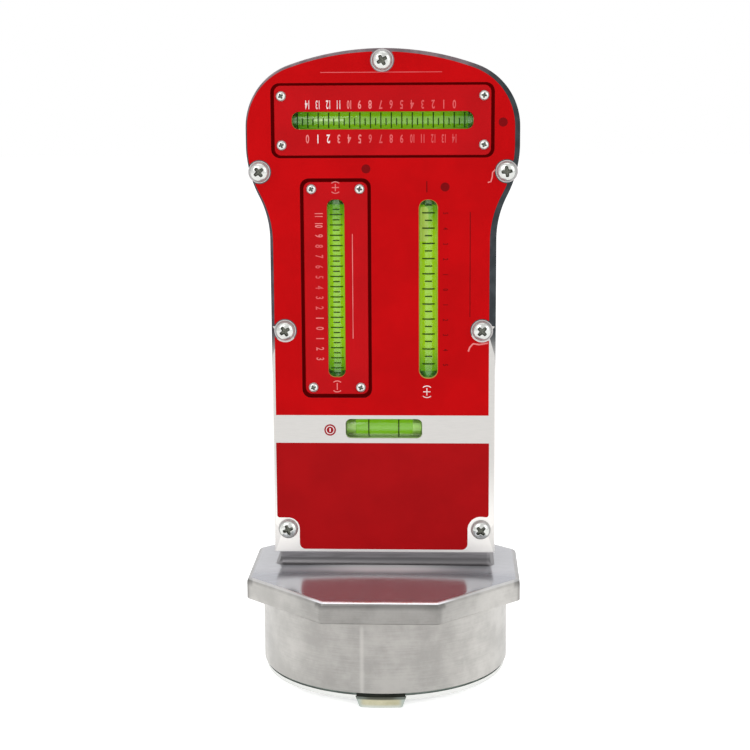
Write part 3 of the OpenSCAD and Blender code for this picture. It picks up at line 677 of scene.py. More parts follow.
# the function that makes each finish and what it is given after the name
FINISHES = {
    **{make.__name__: (make,) for make in PLAIN},
    "upper_print": (print_ink, "upper_print", 0.05, 0.45),
    "lower_print": (print_ink, "lower_print", 0.05, 0.45),
    "cover_print": (print_ink, "cover_print", 0.08, 0.4),
    "dark_print": (print_ink, "dark_print", 0.06),
    "ring_print": (print_ink, (160, 22, 32), 0.2),
    # painted shade: dark red walls of the carriers' openings
    "opening_edge": (print_ink, (96, 8, 12), 0.1, 0.6),
    # painted light: slot walls tinted as if lit by the liquid's glow
    "slot_edge": (print_ink, (190, 182, 92)),
    # painted light: window walls lightened and tinted green against their shade
    "window_edge": (print_ink, (166, 196, 118)),
    "mark_ink": (print_ink, "mark", 0.2),
    "black_ink": (print_ink, (18, 26, 14), 0.2),
    "white_print": (worn_print, "figures"),
    "pink_print": (worn_print, (246, 146, 144)),
    "faint_print": (worn_print, (232, 104, 106)),
    "kpi_liquid": (liquid, "x", 0, 30, (0.148, 0.188, 0.08)),
    "caster_liquid": (liquid, "z", 131, 30, (0.238, 0.258, 0.1)),
    "camber_liquid": (liquid, "z", 130.8, 30, (0.27, 0.265, 0.12)),
    "level_liquid": (liquid, "x", 0, 20, (0.155, 0.205, 0.15)),
    # the camber bubble, with the liquid's painted glow
    "dull_bubble": (liquid, "z", 152, 60, (0.3, 0.24, 1.1)),
    # pale bubbles of the kpi and caster vials, coloured as a painted highlight
    "bubble": (plated, (205, 236, 170), 0.2, 500, 0.0, 0.08, 0.0),
    "zinc": (plated, "zinc", 0.2),
    "zinc_side": (plated, (176, 176, 174), 0.5, 900, 0.01, 0.15, 0.3),
    "ring_metal": (plated, (186, 182, 182), 0.35, 900, 0.004, 0.12),
    # painted shade in the screws' cross recess
    "recess": (plated, (98, 100, 92), 0.4, 2600, 0.01, 0.5),
    "nickel": (plated, (188, 188, 186), 0.2, 300, 0.004),
    "dark_steel": (plated, (104, 104, 106), 0.36),
    "ground_steel": (plated, (186, 187, 188), 0.22, 900),
    "spring_wire": (plated, (150, 150, 152), 0.3),
    "turned_brass": (plated, (206, 172, 92), 0.26),
    "holder_bar": (plated, (150, 150, 150), 0.4, 240, 0.01, 0.06),
    # painted light: the level holder lightened against its shade
    "light_holder": (plated, (232, 238, 212), 0.5, 240, 0.0, 0.04, 0.0),
    "plug": (plated, (78, 150, 62), 0.3, 200, 0.0, 0.12, 0.0),
    "light_plug": (plated, (176, 218, 112), 0.3, 200, 0.0, 0.12, 0.0),
    "pot_steel": (plated, (160, 173, 164), 0.2, 200, 0.008),
    # painted shade in the groove above the pot's rim
    "gap_grey": (plated, (112, 122, 116), 0.5, 200, 0.0, 0.3),
    # painted shade: the black band where the feet meet the rim
    "gap_black": (plated, (40, 42, 38), 0.5, 200, 0.0, 0.3),
    "ferrite": (plated, (58, 58, 60), 0.6, 900, 0.03, 0.2),
    "resin": (plated, (36, 38, 38), 0.45, 700, 0.03, 0.15, 0.0),
}


def finish(name):
    """The material of that name, made once."""
    maker, *given = FINISHES[name]
    return bpy.data.materials.get(name) or maker(name, *given)


# ---- the casting ----


class GAUGE_OT_casting(bpy.types.Operator):
    """The casting: hollow case, neck, octagonal flange and cup"""

    bl_idname = "gauge.casting"
    bl_label = "Casting"

    def case(self, shape):
        """The case is one profile carried round the outline: inner wall, rim, outer side,
        round back edge and back, with both ends filled."""
        rim = 0.35
        rows = [(SIDE_WALL + 0.3, INNER_BACK_Y), (SIDE_WALL, INNER_BACK_Y),
                (SIDE_WALL, PANEL_BACK_Y), (rim * 1.5, PANEL_BACK_Y)]
        rows += rounding(rim, 3, PANEL_BACK_Y)[1:]
        rows += rounding(size("cast_edge"), 6, CASE_BACK_Y, -1)[::-1]
        closed(shape, plate_loop, rows, [4, 4] + [3] * (len(rows) - 3), axis=1)

    def octagon(self, inset=0.0):
        """Loop of a regular octagon, moved inwards, whose corners are small arcs."""
        corner, half_side = 1.6, 22.5
        reach = (FLANGE_HALF - inset - corner) / math.cos(half_side * DEGREES)
        middles = arc((0, 0), reach, half_side, 360 - half_side, 7)
        return np.concatenate([
            arc(middle, corner, a - half_side, a + half_side, 4)
            for middle, a in zip(middles, np.arange(half_side, 360, 45))])

    def flange(self, shape):
        """Octagon with a rounded upper edge and a top that drops with the square of the
        distance from the middle."""
        edge, sag = size("flange_edge"), size("flange_sag")
        rows = [(0.5, FLANGE_Z), (0.3, FLANGE_Z), (0.0, FLANGE_Z + 0.3)]
        rows += list(arc((edge, FLANGE_TOP_Z - sag - edge), edge, 180, 90, 4))
        top = [(inset, FLANGE_TOP_Z - sag * (1 - inset / FLANGE_HALF) ** 2)
               for inset in (edge + 0.4, 4, 7, 10, 15, 20, 26, 32, 38, 42)]
        closed(shape, self.octagon, rows + top, [0] * (len(rows) - 1) + [1] * len(top))

    def neck(self, shape):
        """A block whose foot flares out by a hollow quarter circle."""
        fillet, foot = size("neck_fillet"), FLANGE_TOP_Z - 0.25
        rows = [(-fillet, foot - 0.6), *arc((-fillet, foot + fillet), fillet, -90, 0, 6),
                (0, CASE_Z + 0.4)]
        closed(shape, rect_loop((0, 8.8), 71.0, 21.6, 1.2, 4), rows, [2] * (len(rows) - 1))

    def cup(self, shape):
        """Turned profile: outer wall with a small fillet under the flange, rounded lower
        rim, bore, roof and the spring's bore above it."""
        wide, edge, roof, spring = CUP_R + 1, 0.7, 34.8, 33.0
        turned(shape, [
            (0, roof), (wide, roof), (wide, FLANGE_Z + 0.2),
            *arc((wide, FLANGE_Z - 1), 1, 90, 180, 4),
            *arc((CUP_R - edge, RIM_Z + edge), edge, 0, -90, 5),
            (CUP_BORE_R + 0.3, RIM_Z), (CUP_BORE_R, RIM_Z + 0.3), (CUP_BORE_R, POT_Z),
            (6.5, POT_Z), (6.5, spring), (0, spring)], 160)

    def posts(self, shape):
        """Bosses of the panel screws, posts of the fixed holders, ears of the pivots."""
        for x, z, _ in PANEL_SCREWS:
            r = 2.7 if abs(x) > 40 else 3.7
            self.post(shape, x, z, PANEL_BACK_Y + 0.1, r, 2.05, 13.0)
        for s in (-1, 1):
            for x, z in ((CAMBER_AT[0], CAMBER_AT[1] + s * 35.75),
                         (LEVEL_AT[0] + s * 18.75, LEVEL_AT[1])):
                self.post(shape, x, z, 6.0, 3.6, 1.5, 10.0)
            for at, turned_over in ((CASTER_AT, False), (KPI_AT, True)):
                self.ear(shape, at, s * 7.2, turned_over)

    def post(self, shape, x, z, y, r, hole, depth):
        """A round post from the back wall to a front at y, with a blind hole."""
        back = INNER_BACK_Y + 1
        turned(shape, [(0, back), (r, back), (r, y + 0.2), (r - 0.2, y), (hole, y),
                       (hole, y + depth), (0, y + depth)], 32, "Y", (x, 0, z))

    def ear(self, shape, at, side, turned_over):
        """A tab with a half-round end and a hole for the pivot pin, cut across its pin."""
        pin_y, r, hole_r, half = 11.2, 2.6, 1.5, 1.8
        back = INNER_BACK_Y + 0.5
        tab = np.concatenate([arc((pin_y, 0), r, 90, 270, 10), [(back, -r), (back, r)]])
        axis, middle = (2, at[1] + side) if turned_over else (0, at[0] + side)
        ends = []
        for y, up in (tab.T, arc((pin_y, 0), hole_r, 0, 345, 23).T):
            up = up + PIVOT_FROM_MIDDLE
            flat = np.stack([at[0] - up, y] if turned_over else [y, at[1] + up], -1)
            ends.append(carried(shape, lambda inset: flat,
                                [(0, middle - half), (0, middle + half)], 3, axis=axis))
        for k in (0, 1):
            lid(shape, [end[k] for end in ends], 3)

    def execute(self, context):
        shape = Shape()
        for part in (self.case, self.neck, self.flange, self.cup, self.posts):
            part(shape)
        piece("casting", shape, "housing",
              ["satin_casting", "polished_casting", "neck_metal", "cast_skin", "inner_skin"],
              ["body_casting"])
        return {"FINISHED"}


# ---- marks, rules and figures of the print ----


def written(text):
    """Points and faces of a text of height 1 about its own middle, thin and closed."""
    curve = bpy.data.curves.new("figure", "FONT")
    curve.body, curve.size, curve.resolution_u = text, 1.0, 3
    curve.align_x, curve.align_y, curve.extrude = "CENTER", "CENTER", 0.005
    curve.offset = 0.02
    holder = bpy.data.objects.new("figure", curve)
    mesh = bpy.data.meshes.new_from_object(holder)
    points = np.empty(3 * len(mesh.vertices))
    mesh.vertices.foreach_get("co", points)
    points = points.reshape(-1, 3)
    low, high = points.min(0), points.max(0)
    points[:, :2] -= (low[:2] + high[:2]) / 2
    points[:, :2] /= high[1] - low[1]
    faces = [np.array(p.vertices) for p in mesh.polygons]
    bpy.data.meshes.remove(mesh)
    bpy.data.objects.remove(holder)
    bpy.data.curves.remove(curve)
    return points, faces


def figure(shape, text, at, height, angle, front_y, narrow=0.62, tag=0):
    """Lays a text on the face: turned by angle, narrowed across, at a depth."""
    points, faces = written(text)
    u, v = points[:, 0] * height * narrow, points[:, 1] * height
    c, s = math.cos(angle * DEGREES), math.sin(angle * DEGREES)
    depth = np.where(points[:, 2] > 0, front_y - INK, front_y + INK)
    shape.add(np.stack([at[0] + u * c - v * s, depth, at[1] + u * s + v * c], -1), faces, tag)


def bar(shape, edges, tag=0):
    """A bar with both ends shut, whose four long edges are lines of points."""
    rows = len(edges[0])
    first = shape.add(np.stack(edges, 1), grid_faces(rows, 4), tag)
    last = first + (rows - 1) * 4
    shape.join([[first, first + 1, first + 2, first + 3],
                [last + 3, last + 2, last + 1, last]], tag)


def stroke(shape, line, width, front_y, tag=0):
    """A thin printed line along places on the face."""
    line = np.asarray(line, float)
    ahead = np.gradient(line, axis=0)
    side = np.stack([-ahead[:, 1], ahead[:, 0]], -1) / np.hypot(*ahead.T)[:, None] * width / 2
    bar(shape, [np.insert(line + s * side, 1, front_y + d, axis=1)
                for s, d in ((1, -INK), (-1, -INK), (-1, INK), (1, INK))], tag)


def rule(shape, at, x, z, width, front_y, tag=0):
    """A straight stroke of half length x and z about a place."""
    stroke(shape, [(at[0] - x, at[1] - z), (at[0] + x, at[1] + z)], width, front_y, tag)


def sign(shape, at, r, plus, front_y, tag=0):
    """A plus or minus, turned a quarter, between two round brackets over and under it."""
    width = 0.3
    for middle in (90, 270):
        stroke(shape, arc(at, r, middle - 42, middle + 42, 8), width, front_y, tag)
    reach = 0.62 * r
    rule(shape, at, 0, reach, width, front_y, tag)
    if plus:
        rule(shape, at, reach, 0, width, front_y - 0.002, tag)


def dot(shape, at, r, front_y, hole=0.0):
    """A printed disc, or a ring round a hole."""
    holes = [round_loop(at, hole, 6)] if hole else []
    slab(shape, round_loop(at, r, 8), holes, front_y - INK, front_y + INK, INK / 4, 1)


def vial_marks(shape, at, axis, places, half_angle, width, aside=0.0):
    """Marks on the front of a tube: each is a small bar bent round it, over the angles
    within half_angle of a direction that lies aside of straight ahead."""
    t = (aside + half_angle * np.linspace(-1, 1, 9)) * DEGREES
    low, high = 4.03, 4.07
    for place in places:
        edges = []
        for radius, across in ((low, -0.5), (high, -0.5), (high, 0.5), (low, 0.5)):
            side, front = radius * np.sin(t), VIAL_Y - radius * np.cos(t)
            along = np.full_like(t, place + across * width)
            x, z = (along, side) if axis == "X" else (side, along)
            edges.append(np.stack([at[0] + x, front, at[1] + z], -1))
        bar(shape, edges)


# ---- the panel and its print ----


def print_loop(inset=0.0):
    """Edge of the upper print: the plate's outline drawn in by 1.05 on the head and 1.6
    below the waist, and moved 0.6 to the left. The one goes over into the other by
    t t (3 - 2 t) between two heights."""
    head, low = plate_loop(1.05 + inset), plate_loop(1.6 + inset)
    t = np.clip((head[:, 1:] - 140) / 30, 0, 1)
    return low + (head - low) * t * t * (3 - 2 * t) - (0.6, 0)


def grown_openings(more, r):
    """Outlines of the two carriers' openings, larger than in the sheet by more."""
    return [rect_loop(KPI_AT, 72.0 + more, 23.8 + more, r),
            rect_loop(CASTER_AT, 22.9 + more, 72.2 + more, r)]


class GAUGE_OT_panel(bpy.types.Operator):
    """The sheet panel with its openings"""

    bl_idname = "gauge.panel"
    bl_label = "Panel"

    def execute(self, context):
        openings = grown_openings(0, 2.8) + [
            rect_loop(CAMBER_AT, *CAMBER_SLOT, 2.6), rect_loop(LEVEL_AT, *LEVEL_WINDOW, 1.7)]
        openings += [round_loop((x, z), 2.2, 6) for x, z, _ in PANEL_SCREWS]
        shape = Shape()
        # opening walls: painted dark red shade round the carriers, painted light of the liquid
        # in the camber slot and level window
        slab(shape, plate_loop, openings, FACE_Y + size("print_rise"), PANEL_BACK_Y,
             size("sheet_edge"), tags=((2, 2), (2, 2), (3, 3), (0, 4)))
        # outside the print's level fields the sheet shows only as the band round its rim
        points = np.concatenate(shape.points)
        for k, face in enumerate(shape.faces):
            x, _, z = points[face].mean(0)
            if not shape.tags[k] and (abs(x) > HALF_PLATE - 1.2 or z > 120):
                shape.tags[k] = 1
        printed("panel", shape,
                ["bare_sheet", "sheet_rim", "opening_edge", "slot_edge", "window_edge"],
                ["face_panel"])
        return {"FINISHED"}


class GAUGE_OT_print(bpy.types.Operator):
    """The panel's red fields, bare rings, rules, figures and callout dots"""

    bl_idname = "gauge.print"
    bl_label = "Print"

    def field(self, name, outline, holes, finish_name):
        """A flat field of colour that stands out of the sheet."""
        rise = size("print_rise")
        shape = Shape()
        slab(shape, outline, holes, FACE_Y, FACE_Y + rise * 1.5, rise * 0.4, 1)
        printed(name, shape, [finish_name])

    def upper(self, inset=0.0):
        """The upper field: the print's edge above a level line, bitten by the bare rings
        of the screws that stand on that edge."""
        level = 88.9 + inset
        loop = print_loop(inset)
        loop = loop[loop[:, 1] > 91]
        loop = np.roll(loop, -int(np.argmax(loop[:, 0] * (loop[:, 1] < 93))), axis=0)
        for x, z, _ in RINGED_SCREWS:
            loop = self.bitten(loop, (x, z), 3.9 + inset)
        return np.concatenate([[(loop[0, 0], level)], loop, [(loop[-1, 0], level)]])

    def bitten(self, loop, at, r):
        """Pushes what lies inside a circle out to its far side, so that the edge runs
        round the circle: only the points of the loop within it move."""
        dense = self.dense(loop)
        near = np.flatnonzero(np.hypot(*(dense - at).T) < r)
        if not len(near):
            return loop
        a, b = dense[near[0] - 1] - at, dense[(near[-1] + 1) % len(dense)] - at
        start, stop = math.atan2(a[1], a[0]), math.atan2(b[1], b[0])
        inward = math.atan2(130 - at[1], -at[0])
        sweep = (stop - start) % (2 * math.pi)
        if (inward - start) % (2 * math.pi) > sweep:
            sweep -= 2 * math.pi
        cut = arc(at, r, start / DEGREES, (start + sweep) / DEGREES, 18)
        return np.concatenate([dense[:near[0]], cut, dense[near[-1] + 1:]])

    def dense(self, loop):
        """The open path through the loop's points, in steps of about half a millimetre."""
        step = np.hypot(*np.diff(loop, axis=0).T)
        run = np.concatenate([[0], np.cumsum(step)])
        at = np.linspace(0, run[-1], 900)
        return np.stack([np.interp(at, run, column) for column in loop.T], -1)

    def lower(self, inset=0.0):
        """The lower field: square top, a round bite at each bottom screw, round bottom
        corners between the bites."""
        r, tip = 2.0, 0.9
        left, right, top, bottom = -36.0 + inset, 34.9 - inset, 79.5 - inset, 42.95 + inset
        low = 54.2 + tip + inset
        return np.concatenate([
            [(right, top)],
            arc((right - tip, low), tip, 0, -80, 4),
            arc((32.3, 50.0), 4.4 + inset, 84, 176, 12),
            arc((27.9 - inset - r, bottom + r), r, 0, -90, 6),
            arc((-28.5 + inset + r, bottom + r), r, -90, -180, 6),
            arc((-32.3, 50.0), 3.8 + inset, 0, 92, 12),
            arc((left + tip, low - 0.4), tip, -100, -180, 4),
            [(left, top)],
        ])[::-1]

    def marks(self):
        """Rules, figures, dots and worn spots of the panel: dark ones and pale ones."""
        dark, pale = Shape(), Shape()
        y = FACE_Y - LIFT
        for k in range(11):
            figure(dark, str(abs(5 - k)), (20.4, CAMBER_FIRST_Z - CAMBER_PITCH * k), 1.7, -90, y)
        stroke(dark, [(14.3, 162.6), (14.3, 166.2)], 0.34, y)
        stroke(dark, [(28.4, 121.8), (28.4, 156.2)], 0.28, y)
        for at in ((38.8, 185.0), (-5.4, 170.2), (20.2, 164.3)):
            dot(dark, at, 1.45, y)
        stroke(pale, [(-19.9, 201.0), (19.2, 201.0)], 0.24, y, 2)
        sign(pale, (14.3, 96.9), 1.95, True, y)
        stroke(pale, [(36.4, 169.9), (35.5, 168.9), (35.4, 167.4), (35.0, 166.0), (34.0, 165.7)],
               0.4, y, 1)
        stroke(pale, [(34.4, 113.2), (31.4, 112.7), (29.5, 113.0), (28.4, 111.8), (27.9, 110.4)],
               0.5, y, 1)
        printed("dark_marks", dark, ["dark_print"])
        printed("pale_marks", pale, PALE_PRINTS)

    def badge(self):
        """The mark beside the level window: a red disc with a pale ring and bar on it."""
        disc, line = Shape(), Shape()
        at, y = (-17.9, 83.9), FACE_Y + size("print_rise") - LIFT
        dot(disc, at, 1.95, y)
        dot(line, at, 1.42, y - INK, 1.16)
        rule(line, at, 0, 0.6, 0.4, y - INK)
        printed("badge", disc, ["ring_print"])
        printed("badge_line", line, ["white_print"])

    def execute(self, context):
        grown = np.add(CAMBER_SLOT, 0.3)
        openings = grown_openings(0.2, 2.9) + [rect_loop(CAMBER_AT, *grown, 2.75)]
        self.field("upper_field", self.upper, openings, "upper_print")
        self.field("lower_field", self.lower, [], "lower_print")
        shape = Shape()
        for x, z, _ in RINGED_SCREWS:
            dot(shape, (x, z), 3.6, FACE_Y + size("print_rise") - 2 * LIFT, 2.3)
        printed("screw_rings", shape, ["ring_metal"])
        self.marks()
        self.badge()
        return {"FINISHED"}


# ---- the tilting carriers' covers ----


class GAUGE_OT_covers(bpy.types.Operator):
    """The printed cover plates of the caster and kingpin carriers, with their figures"""

    bl_idname = "gauge.covers"
    bl_label = "Covers"

    def cover(self, name, at, w, h, slot, screws):
        """A plate with a slot for the vial and four holes for its screws."""
        holes = [rect_loop(at, *slot, 2.2)]
        holes += [round_loop((at[0] + x, at[1] + z), 1.05, 4) for x in (-screws[0], screws[0])
                  for z in (-screws[1], screws[1])]
        shape = Shape()
        # the slot's wall takes painted light, as if lit by the liquid's glow
        slab(shape, rect_loop(at, w, h, 2.2), holes, COVER_FRONT_Y, COVER_BACK_Y, 0.28, 4,
             ((0, 1),))
        printed(name + "_plate", shape, ["cover_print", "slot_edge"], [name + "_cover"],
                name + "_carrier")

    def execute(self, context):
        """The print is whitest where least hands have worn it: a row's first figures stay
        white, the next have gone pink and the rest are faint."""
        high, y = size("figure_height"), COVER_FRONT_Y - LIFT
        self.cover("kpi", KPI_AT, 70.0, 22.4, CARRIER_SLOT[::-1], SMALL_SCREW[::-1])
        self.cover("caster", CASTER_AT, 20.9, 70.0, CARRIER_SLOT, SMALL_SCREW)
        kpi, caster = Shape(), Shape()
        for k in range(15):
            x = KPI_FIRST_X + MARK_PITCH * k
            figure(kpi, str(14 - k), (x, 190.75), high, 180, y, 0.44 if k < 5 else 0.6,
                   0 if k < 4 else 1 if k < 7 else 2)
            figure(kpi, str(k), (x, 179.85), high, 180, y, 0.44 if k > 9 else 0.6,
                   0 if 0 < k < 3 else 1 if k < 6 else 2)
            figure(caster, str(abs(11 - k)), (-20.9, CASTER_FIRST_Z - 3.39 * k), high * 0.93,
                   -90, y, 0.52 if k < 2 else 0.62, 2 if 2 < k < 10 else 1)
        sign(caster, (-15.4, 164.2), 1.85, True, y, 1)
        sign(caster, (-15.4, 98.6), 1.85, False, y, 1)
        stroke(caster, [(-10.0, 114.6), (-10.0, 149.1)], 0.24, y, 1)
        for name, shape in (("kpi", kpi), ("caster", caster)):
            printed(name + "_figures", shape, PALE_PRINTS, (), name + "_carrier")
        return {"FINISHED"}


# ---- the vials ----


class GAUGE_OT_vials(bpy.types.Operator):
    """The four vials: clear tubes, dyed liquid, bubbles and marks"""

    bl_idname = "gauge.vials"
    bl_label = "Vials"

    def vial(self, name, body, at, axis, long):
        """A tube with rounded ends round a column of liquid that ends at its plugs."""
        half, edge, r, bore = long / 2, 0.35, 4.0, 3.0
        place = (at[0], VIAL_Y, at[1])
        outer = both_ends(arc((r - edge, half - edge), edge, 0, 90, 3))
        shape = Shape()
        turned(shape, outer + [(bore, half), (bore, -half)], 72, axis, place, tube=True)
        piece(name + "_tube", shape, body, ["clear_tube"], [name + "_vial"])
        fill = half - 3.05
        shape = Shape()
        turned(shape, both_ends(np.array([(2.93, fill - 0.4), (2.6, fill), (0, fill)])), 72,
               axis, place)
        piece(name + "_liquid", shape, body, [name + "_liquid"])

    def bubble(self, name, body, at, axis, r, long, look):
        """An air bubble: half circles at both ends of a straight run, pressed against the
        front of the bore so that only its cap stands out of the liquid."""
        shape = Shape()
        turned(shape, both_ends(arc((0, long / 2 - r), r, 0, 90, 7)), 32, axis,
               (at[0], VIAL_Y - 2.99 + r, at[1]))
        piece(name + "_bubble", shape, body, [look])

    def execute(self, context):
        for vial in VIALS:
            self.vial(*vial)
        # the kpi and caster bubbles are pale as a painted highlight; the camber bubble glows
        # like the liquid
        self.bubble("kpi", "kpi_carrier", (-17.5, KPI_AT[1] + 0.1), "X", 0.8, 10.8, "bubble")
        self.bubble("caster", "caster_carrier", (-15.4, 159.3), "Z", 0.9, 2.6, "bubble")
        self.bubble("camber", "housing", (14.3, 152.0), "Z", 2.1, 14.0, "dull_bubble")
        width = size("tick_width")
        kpi = KPI_FIRST_X + MARK_PITCH * np.arange(-1, 16)
        caster = CASTER_FIRST_Z - CASTER_AT[1] - MARK_PITCH * np.arange(16)
        camber = CAMBER_FIRST_Z - CAMBER_AT[1] - CAMBER_PITCH * np.arange(11)
        short = np.append(caster + HALF_PITCH, caster[-1] - HALF_PITCH)
        marks = {
            "kpi": [(kpi, 38, width), (kpi[:-1] + HALF_PITCH, 17, width, -7)],
            "caster": [(caster, 31, width), (short, 16, width)],
            "camber": [(camber, 30, width * 1.15), (camber + 2.55, 17, width * 1.1)],
            "level": [((-5.1, 4.9), 58, 0.38)],
        }
        for name, body, at, axis, _ in VIALS:
            shape = Shape()
            for row in marks[name]:
                vial_marks(shape, at, axis, *row)
            ink = "black_ink" if name == "level" else "mark_ink"
            piece(name + "_vial_marks", shape, body, [ink])
        return {"FINISHED"}


# ---- screws, knobs and the magnet base ----


class GAUGE_OT_screws(bpy.types.Operator):
    """Cross-recess screws of the panel and the covers"""

    bl_idname = "gauge.screws"
    bl_label = "Screws"

    def screw(self, shape, at, seat_y, r, h, shank, long, turn, rings, sides):
        """A domed head h (1 - q^3)^0.5 over q = radius / r, less a cross recess whose
        arms slope in depth and have steep sides; then the flat seat and the shank."""
        place = (at[0], seat_y, at[1])
        q = np.concatenate([np.linspace(0, 0.62, rings),
                            np.sin(np.linspace(40, 90, rings // 2 + 1) * DEGREES)])
        a = full_turn(sides) - turn * DEGREES
        rr = np.repeat(q[:, None] * r, sides, axis=1)
        u, v = rr * np.cos(a), rr * np.sin(a)
        arm, wide, deep, sharp = 0.54 * r, 0.17 * r, 0.45 * h, 0.05 * r

        def cut(along, across):
            """One bar of the cross: 1 inside it, down to 0 over its steep sides."""
            taper = wide * (1.25 - 0.45 * np.abs(along) / arm)
            inside = np.clip((taper - np.abs(across)) / sharp, 0, 1)
            return inside * np.clip((arm - np.abs(along)) / (2 * sharp), 0, 1)

        mask = np.maximum(cut(u, v), cut(v, u))
        mask = np.maximum(mask, np.clip((0.24 * r - rr) / (2 * sharp), 0, 1))
        height = h * np.sqrt(np.clip(1 - q[:, None] ** 3, 0, 1))
        height = height - mask * (deep + 0.1 * h * np.clip(1 - rr / arm, 0, 1))
        faces = grid_faces(len(q), sides)
        # faces inside the cross recess take the recess finish, a painted shade
        tags = (mask.ravel()[faces].mean(1) > 0.4).astype(int)
        tags[np.repeat(q, sides)[faces].mean(1) > 0.84] = 2
        spun(shape, rr, -height, "Y", place, tags)
        turned(shape, [(r, 0), (shank, 0), (shank, long - 0.4), (shank - 0.4, long), (0, long)],
               sides, "Y", place)

    def execute(self, context):
        looks = ["zinc", "recess", "zinc_side"]
        shape = Shape()
        for x, z, turn in PANEL_SCREWS:
            self.screw(shape, (x, z), FACE_Y, 3.3, 2.3, 2.0, 12.0, turn, 26, 96)
        piece("face_screws", shape, "housing", looks, ["panel_screws"], crease=50)
        for name, at, (x, z) in (("kpi", KPI_AT, SMALL_SCREW[::-1]),
                                 ("caster", CASTER_AT, SMALL_SCREW)):
            shape = Shape()
            for k, (sx, sz) in enumerate(((-1, -1), (1, -1), (-1, 1), (1, 1))):
                self.screw(shape, (at[0] + sx * x, at[1] + sz * z), COVER_FRONT_Y, 1.6, 1.1,
                           0.95, 7.0, 20 + 50 * k, 14, 48)
            piece(name + "_small_screws", shape, name + "_carrier", looks,
                  [name + "_cover_screws"], crease=50)
        return {"FINISHED"}


class GAUGE_OT_knobs(bpy.types.Operator):
    """The two adjusting screws: knurled knob, collar, groove and thread"""

    bl_idname = "gauge.knobs"
    bl_label = "Knobs"

    def rings(self, rows, sides):
        """Grids of radius and height from rows of both."""
        return (np.repeat(column[:, None], sides, 1) for column in np.array(rows).T)

    def knob(self, shape, place, collar):
        """A turned knob whose band is cut by two families of slanted grooves: the radius
        drops where either sin(n a + k y) or sin(n a - k y) is near nought."""
        low, high, r, sides = 22.7, 29.7, 7.0, 288
        rows = [(2.0, collar), (4.4, collar), (4.4, low), (r - 0.9, low), (r - 0.15, low + 0.75)]
        rows += [(r, y) for y in np.linspace(low + 0.9, high - 0.9, 25)]
        rows += [(r - 0.15, high - 0.75), (r - 0.9, high), (4.2, high), (4.0, high - 0.2),
                 (4.0, high - 1), (0, high - 1)]
        radius, y = self.rings(rows, sides)
        turn, slant = 24 * full_turn(sides), 3.4 * y
        groove = np.minimum(np.abs(np.sin(turn + slant)), np.abs(np.sin(turn - slant)))
        radius = radius - (radius == r) * size("knurl_depth") * (1 - groove) ** 2
        spun(shape, radius, y, "Y", place)

    def thread(self, shape, place, collar):
        """The shank: its radius follows a 0.7 mm pitch sawtooth that climbs with the
        angle, up to the groove of the clip."""
        sides, groove, pitch = 40, 16.6, 0.7
        cut = np.arange(8.2, groove - 0.3, 0.1)
        rows = [(0, 7.9), (1.5, 7.9), *((2.0, y) for y in cut), (1.6, groove),
                (1.6, groove + 0.6), (2.0, groove + 0.65), (2.0, collar + 0.2),
                (0, collar + 0.2)]
        radius, y = self.rings(rows, sides)
        turns = cut[:, None] / pitch - full_turn(sides) / (2 * math.pi)
        radius[2:2 + len(cut)] -= 0.36 * np.abs(turns % 1 * 2 - 1)
        spun(shape, radius, y, "Y", place)

    def execute(self, context):
        collar = 21.5
        for name, place in (("caster", (CASTER_AT[0], 0, CASTER_AT[1] - KNOB_FROM_MIDDLE)),
                            ("kpi", (KPI_AT[0] + KNOB_FROM_MIDDLE, 0, KPI_AT[1]))):
            shape = Shape()
            self.knob(shape, place, collar)
            self.thread(shape, place, collar)
            piece(name + "_knob", shape, name + "_knob", ["nickel"],
                  [name + "_adjuster"], crease=50)
        return {"FINISHED"}


class GAUGE_OT_base(bpy.types.Operator):
    """The magnet's steel pot with its rim and three feet"""

    bl_idname = "gauge.base"
    bl_label = "Magnet base"

    def foot_loop(self, angle):
        """Returns a function of inset for a foot seen from below: an arc of the rim, cut
        to the foot's width, and an inner arc."""

        def loop(inset=0.0):
            outer, inner, half = 41.0 - inset, 33.0 + inset, 8.35 - 1.5 * inset
            a, b = (math.asin(half / r) / DEGREES for r in (outer, inner))
            return np.concatenate([arc((0, 0), outer, angle - a, angle + a, 12),
                                   arc((0, 0), inner, angle + b, angle - b, 8)])

        return loop

    def foot(self, shape, angle):
        """A foot with sides that lean in towards a rounded lower edge, and a band of painted
        shade where it meets the rim."""
        edge = 1.1
        rows = [(edge + 1.2, 0.0), *arc((0.8 + edge, edge), edge, -90, -180, 5),
                (0.15, 4.15), (0.35, 4.25), (0.35, 5.0)]
        # the top two bands take the painted shade
        closed(shape, self.foot_loop(angle), rows, [1] * (len(rows) - 3) + [2, 2])

    def pot(self, shape):
        """The pot's turned profile: rounded lower rim, a small groove above it in painted dark
        shade, and the wall.
        """
        inner, outer, rim, low, edge, sides = 34.0, 37.3, 40.5, 2.7, 0.9, 144
        profile = [
            (inner, low + 0.2), (inner + 0.2, low), (rim - edge, low),
            *arc((rim - edge, low + edge), edge, -90, 0, 5)[1:],
            (rim, 4.5), (rim - 0.3, 4.6), (rim - 0.3, 5.1), (outer, 5.1), (outer, POT_Z),
            (9.0, POT_Z), (9.0, 20.0), (inner, 20.0)]
        # painted shade: the groove above the rim takes the dark grey finish
        dark = [3 * (4.4 < z < 5.2 and r > outer) for r, z in profile]
        turned(shape, profile, sides, tags=np.repeat(dark, sides), tube=True)

    def execute(self, context):
        shape = Shape()
        self.pot(shape)
        for angle in (-90, 30, 150):
            self.foot(shape, angle)
        piece("pot", shape, "housing",
              ["pot_steel", "foot_steel", "gap_black", "gap_grey"], ["magnet_pot"], crease=40)
        return {"FINISHED"}


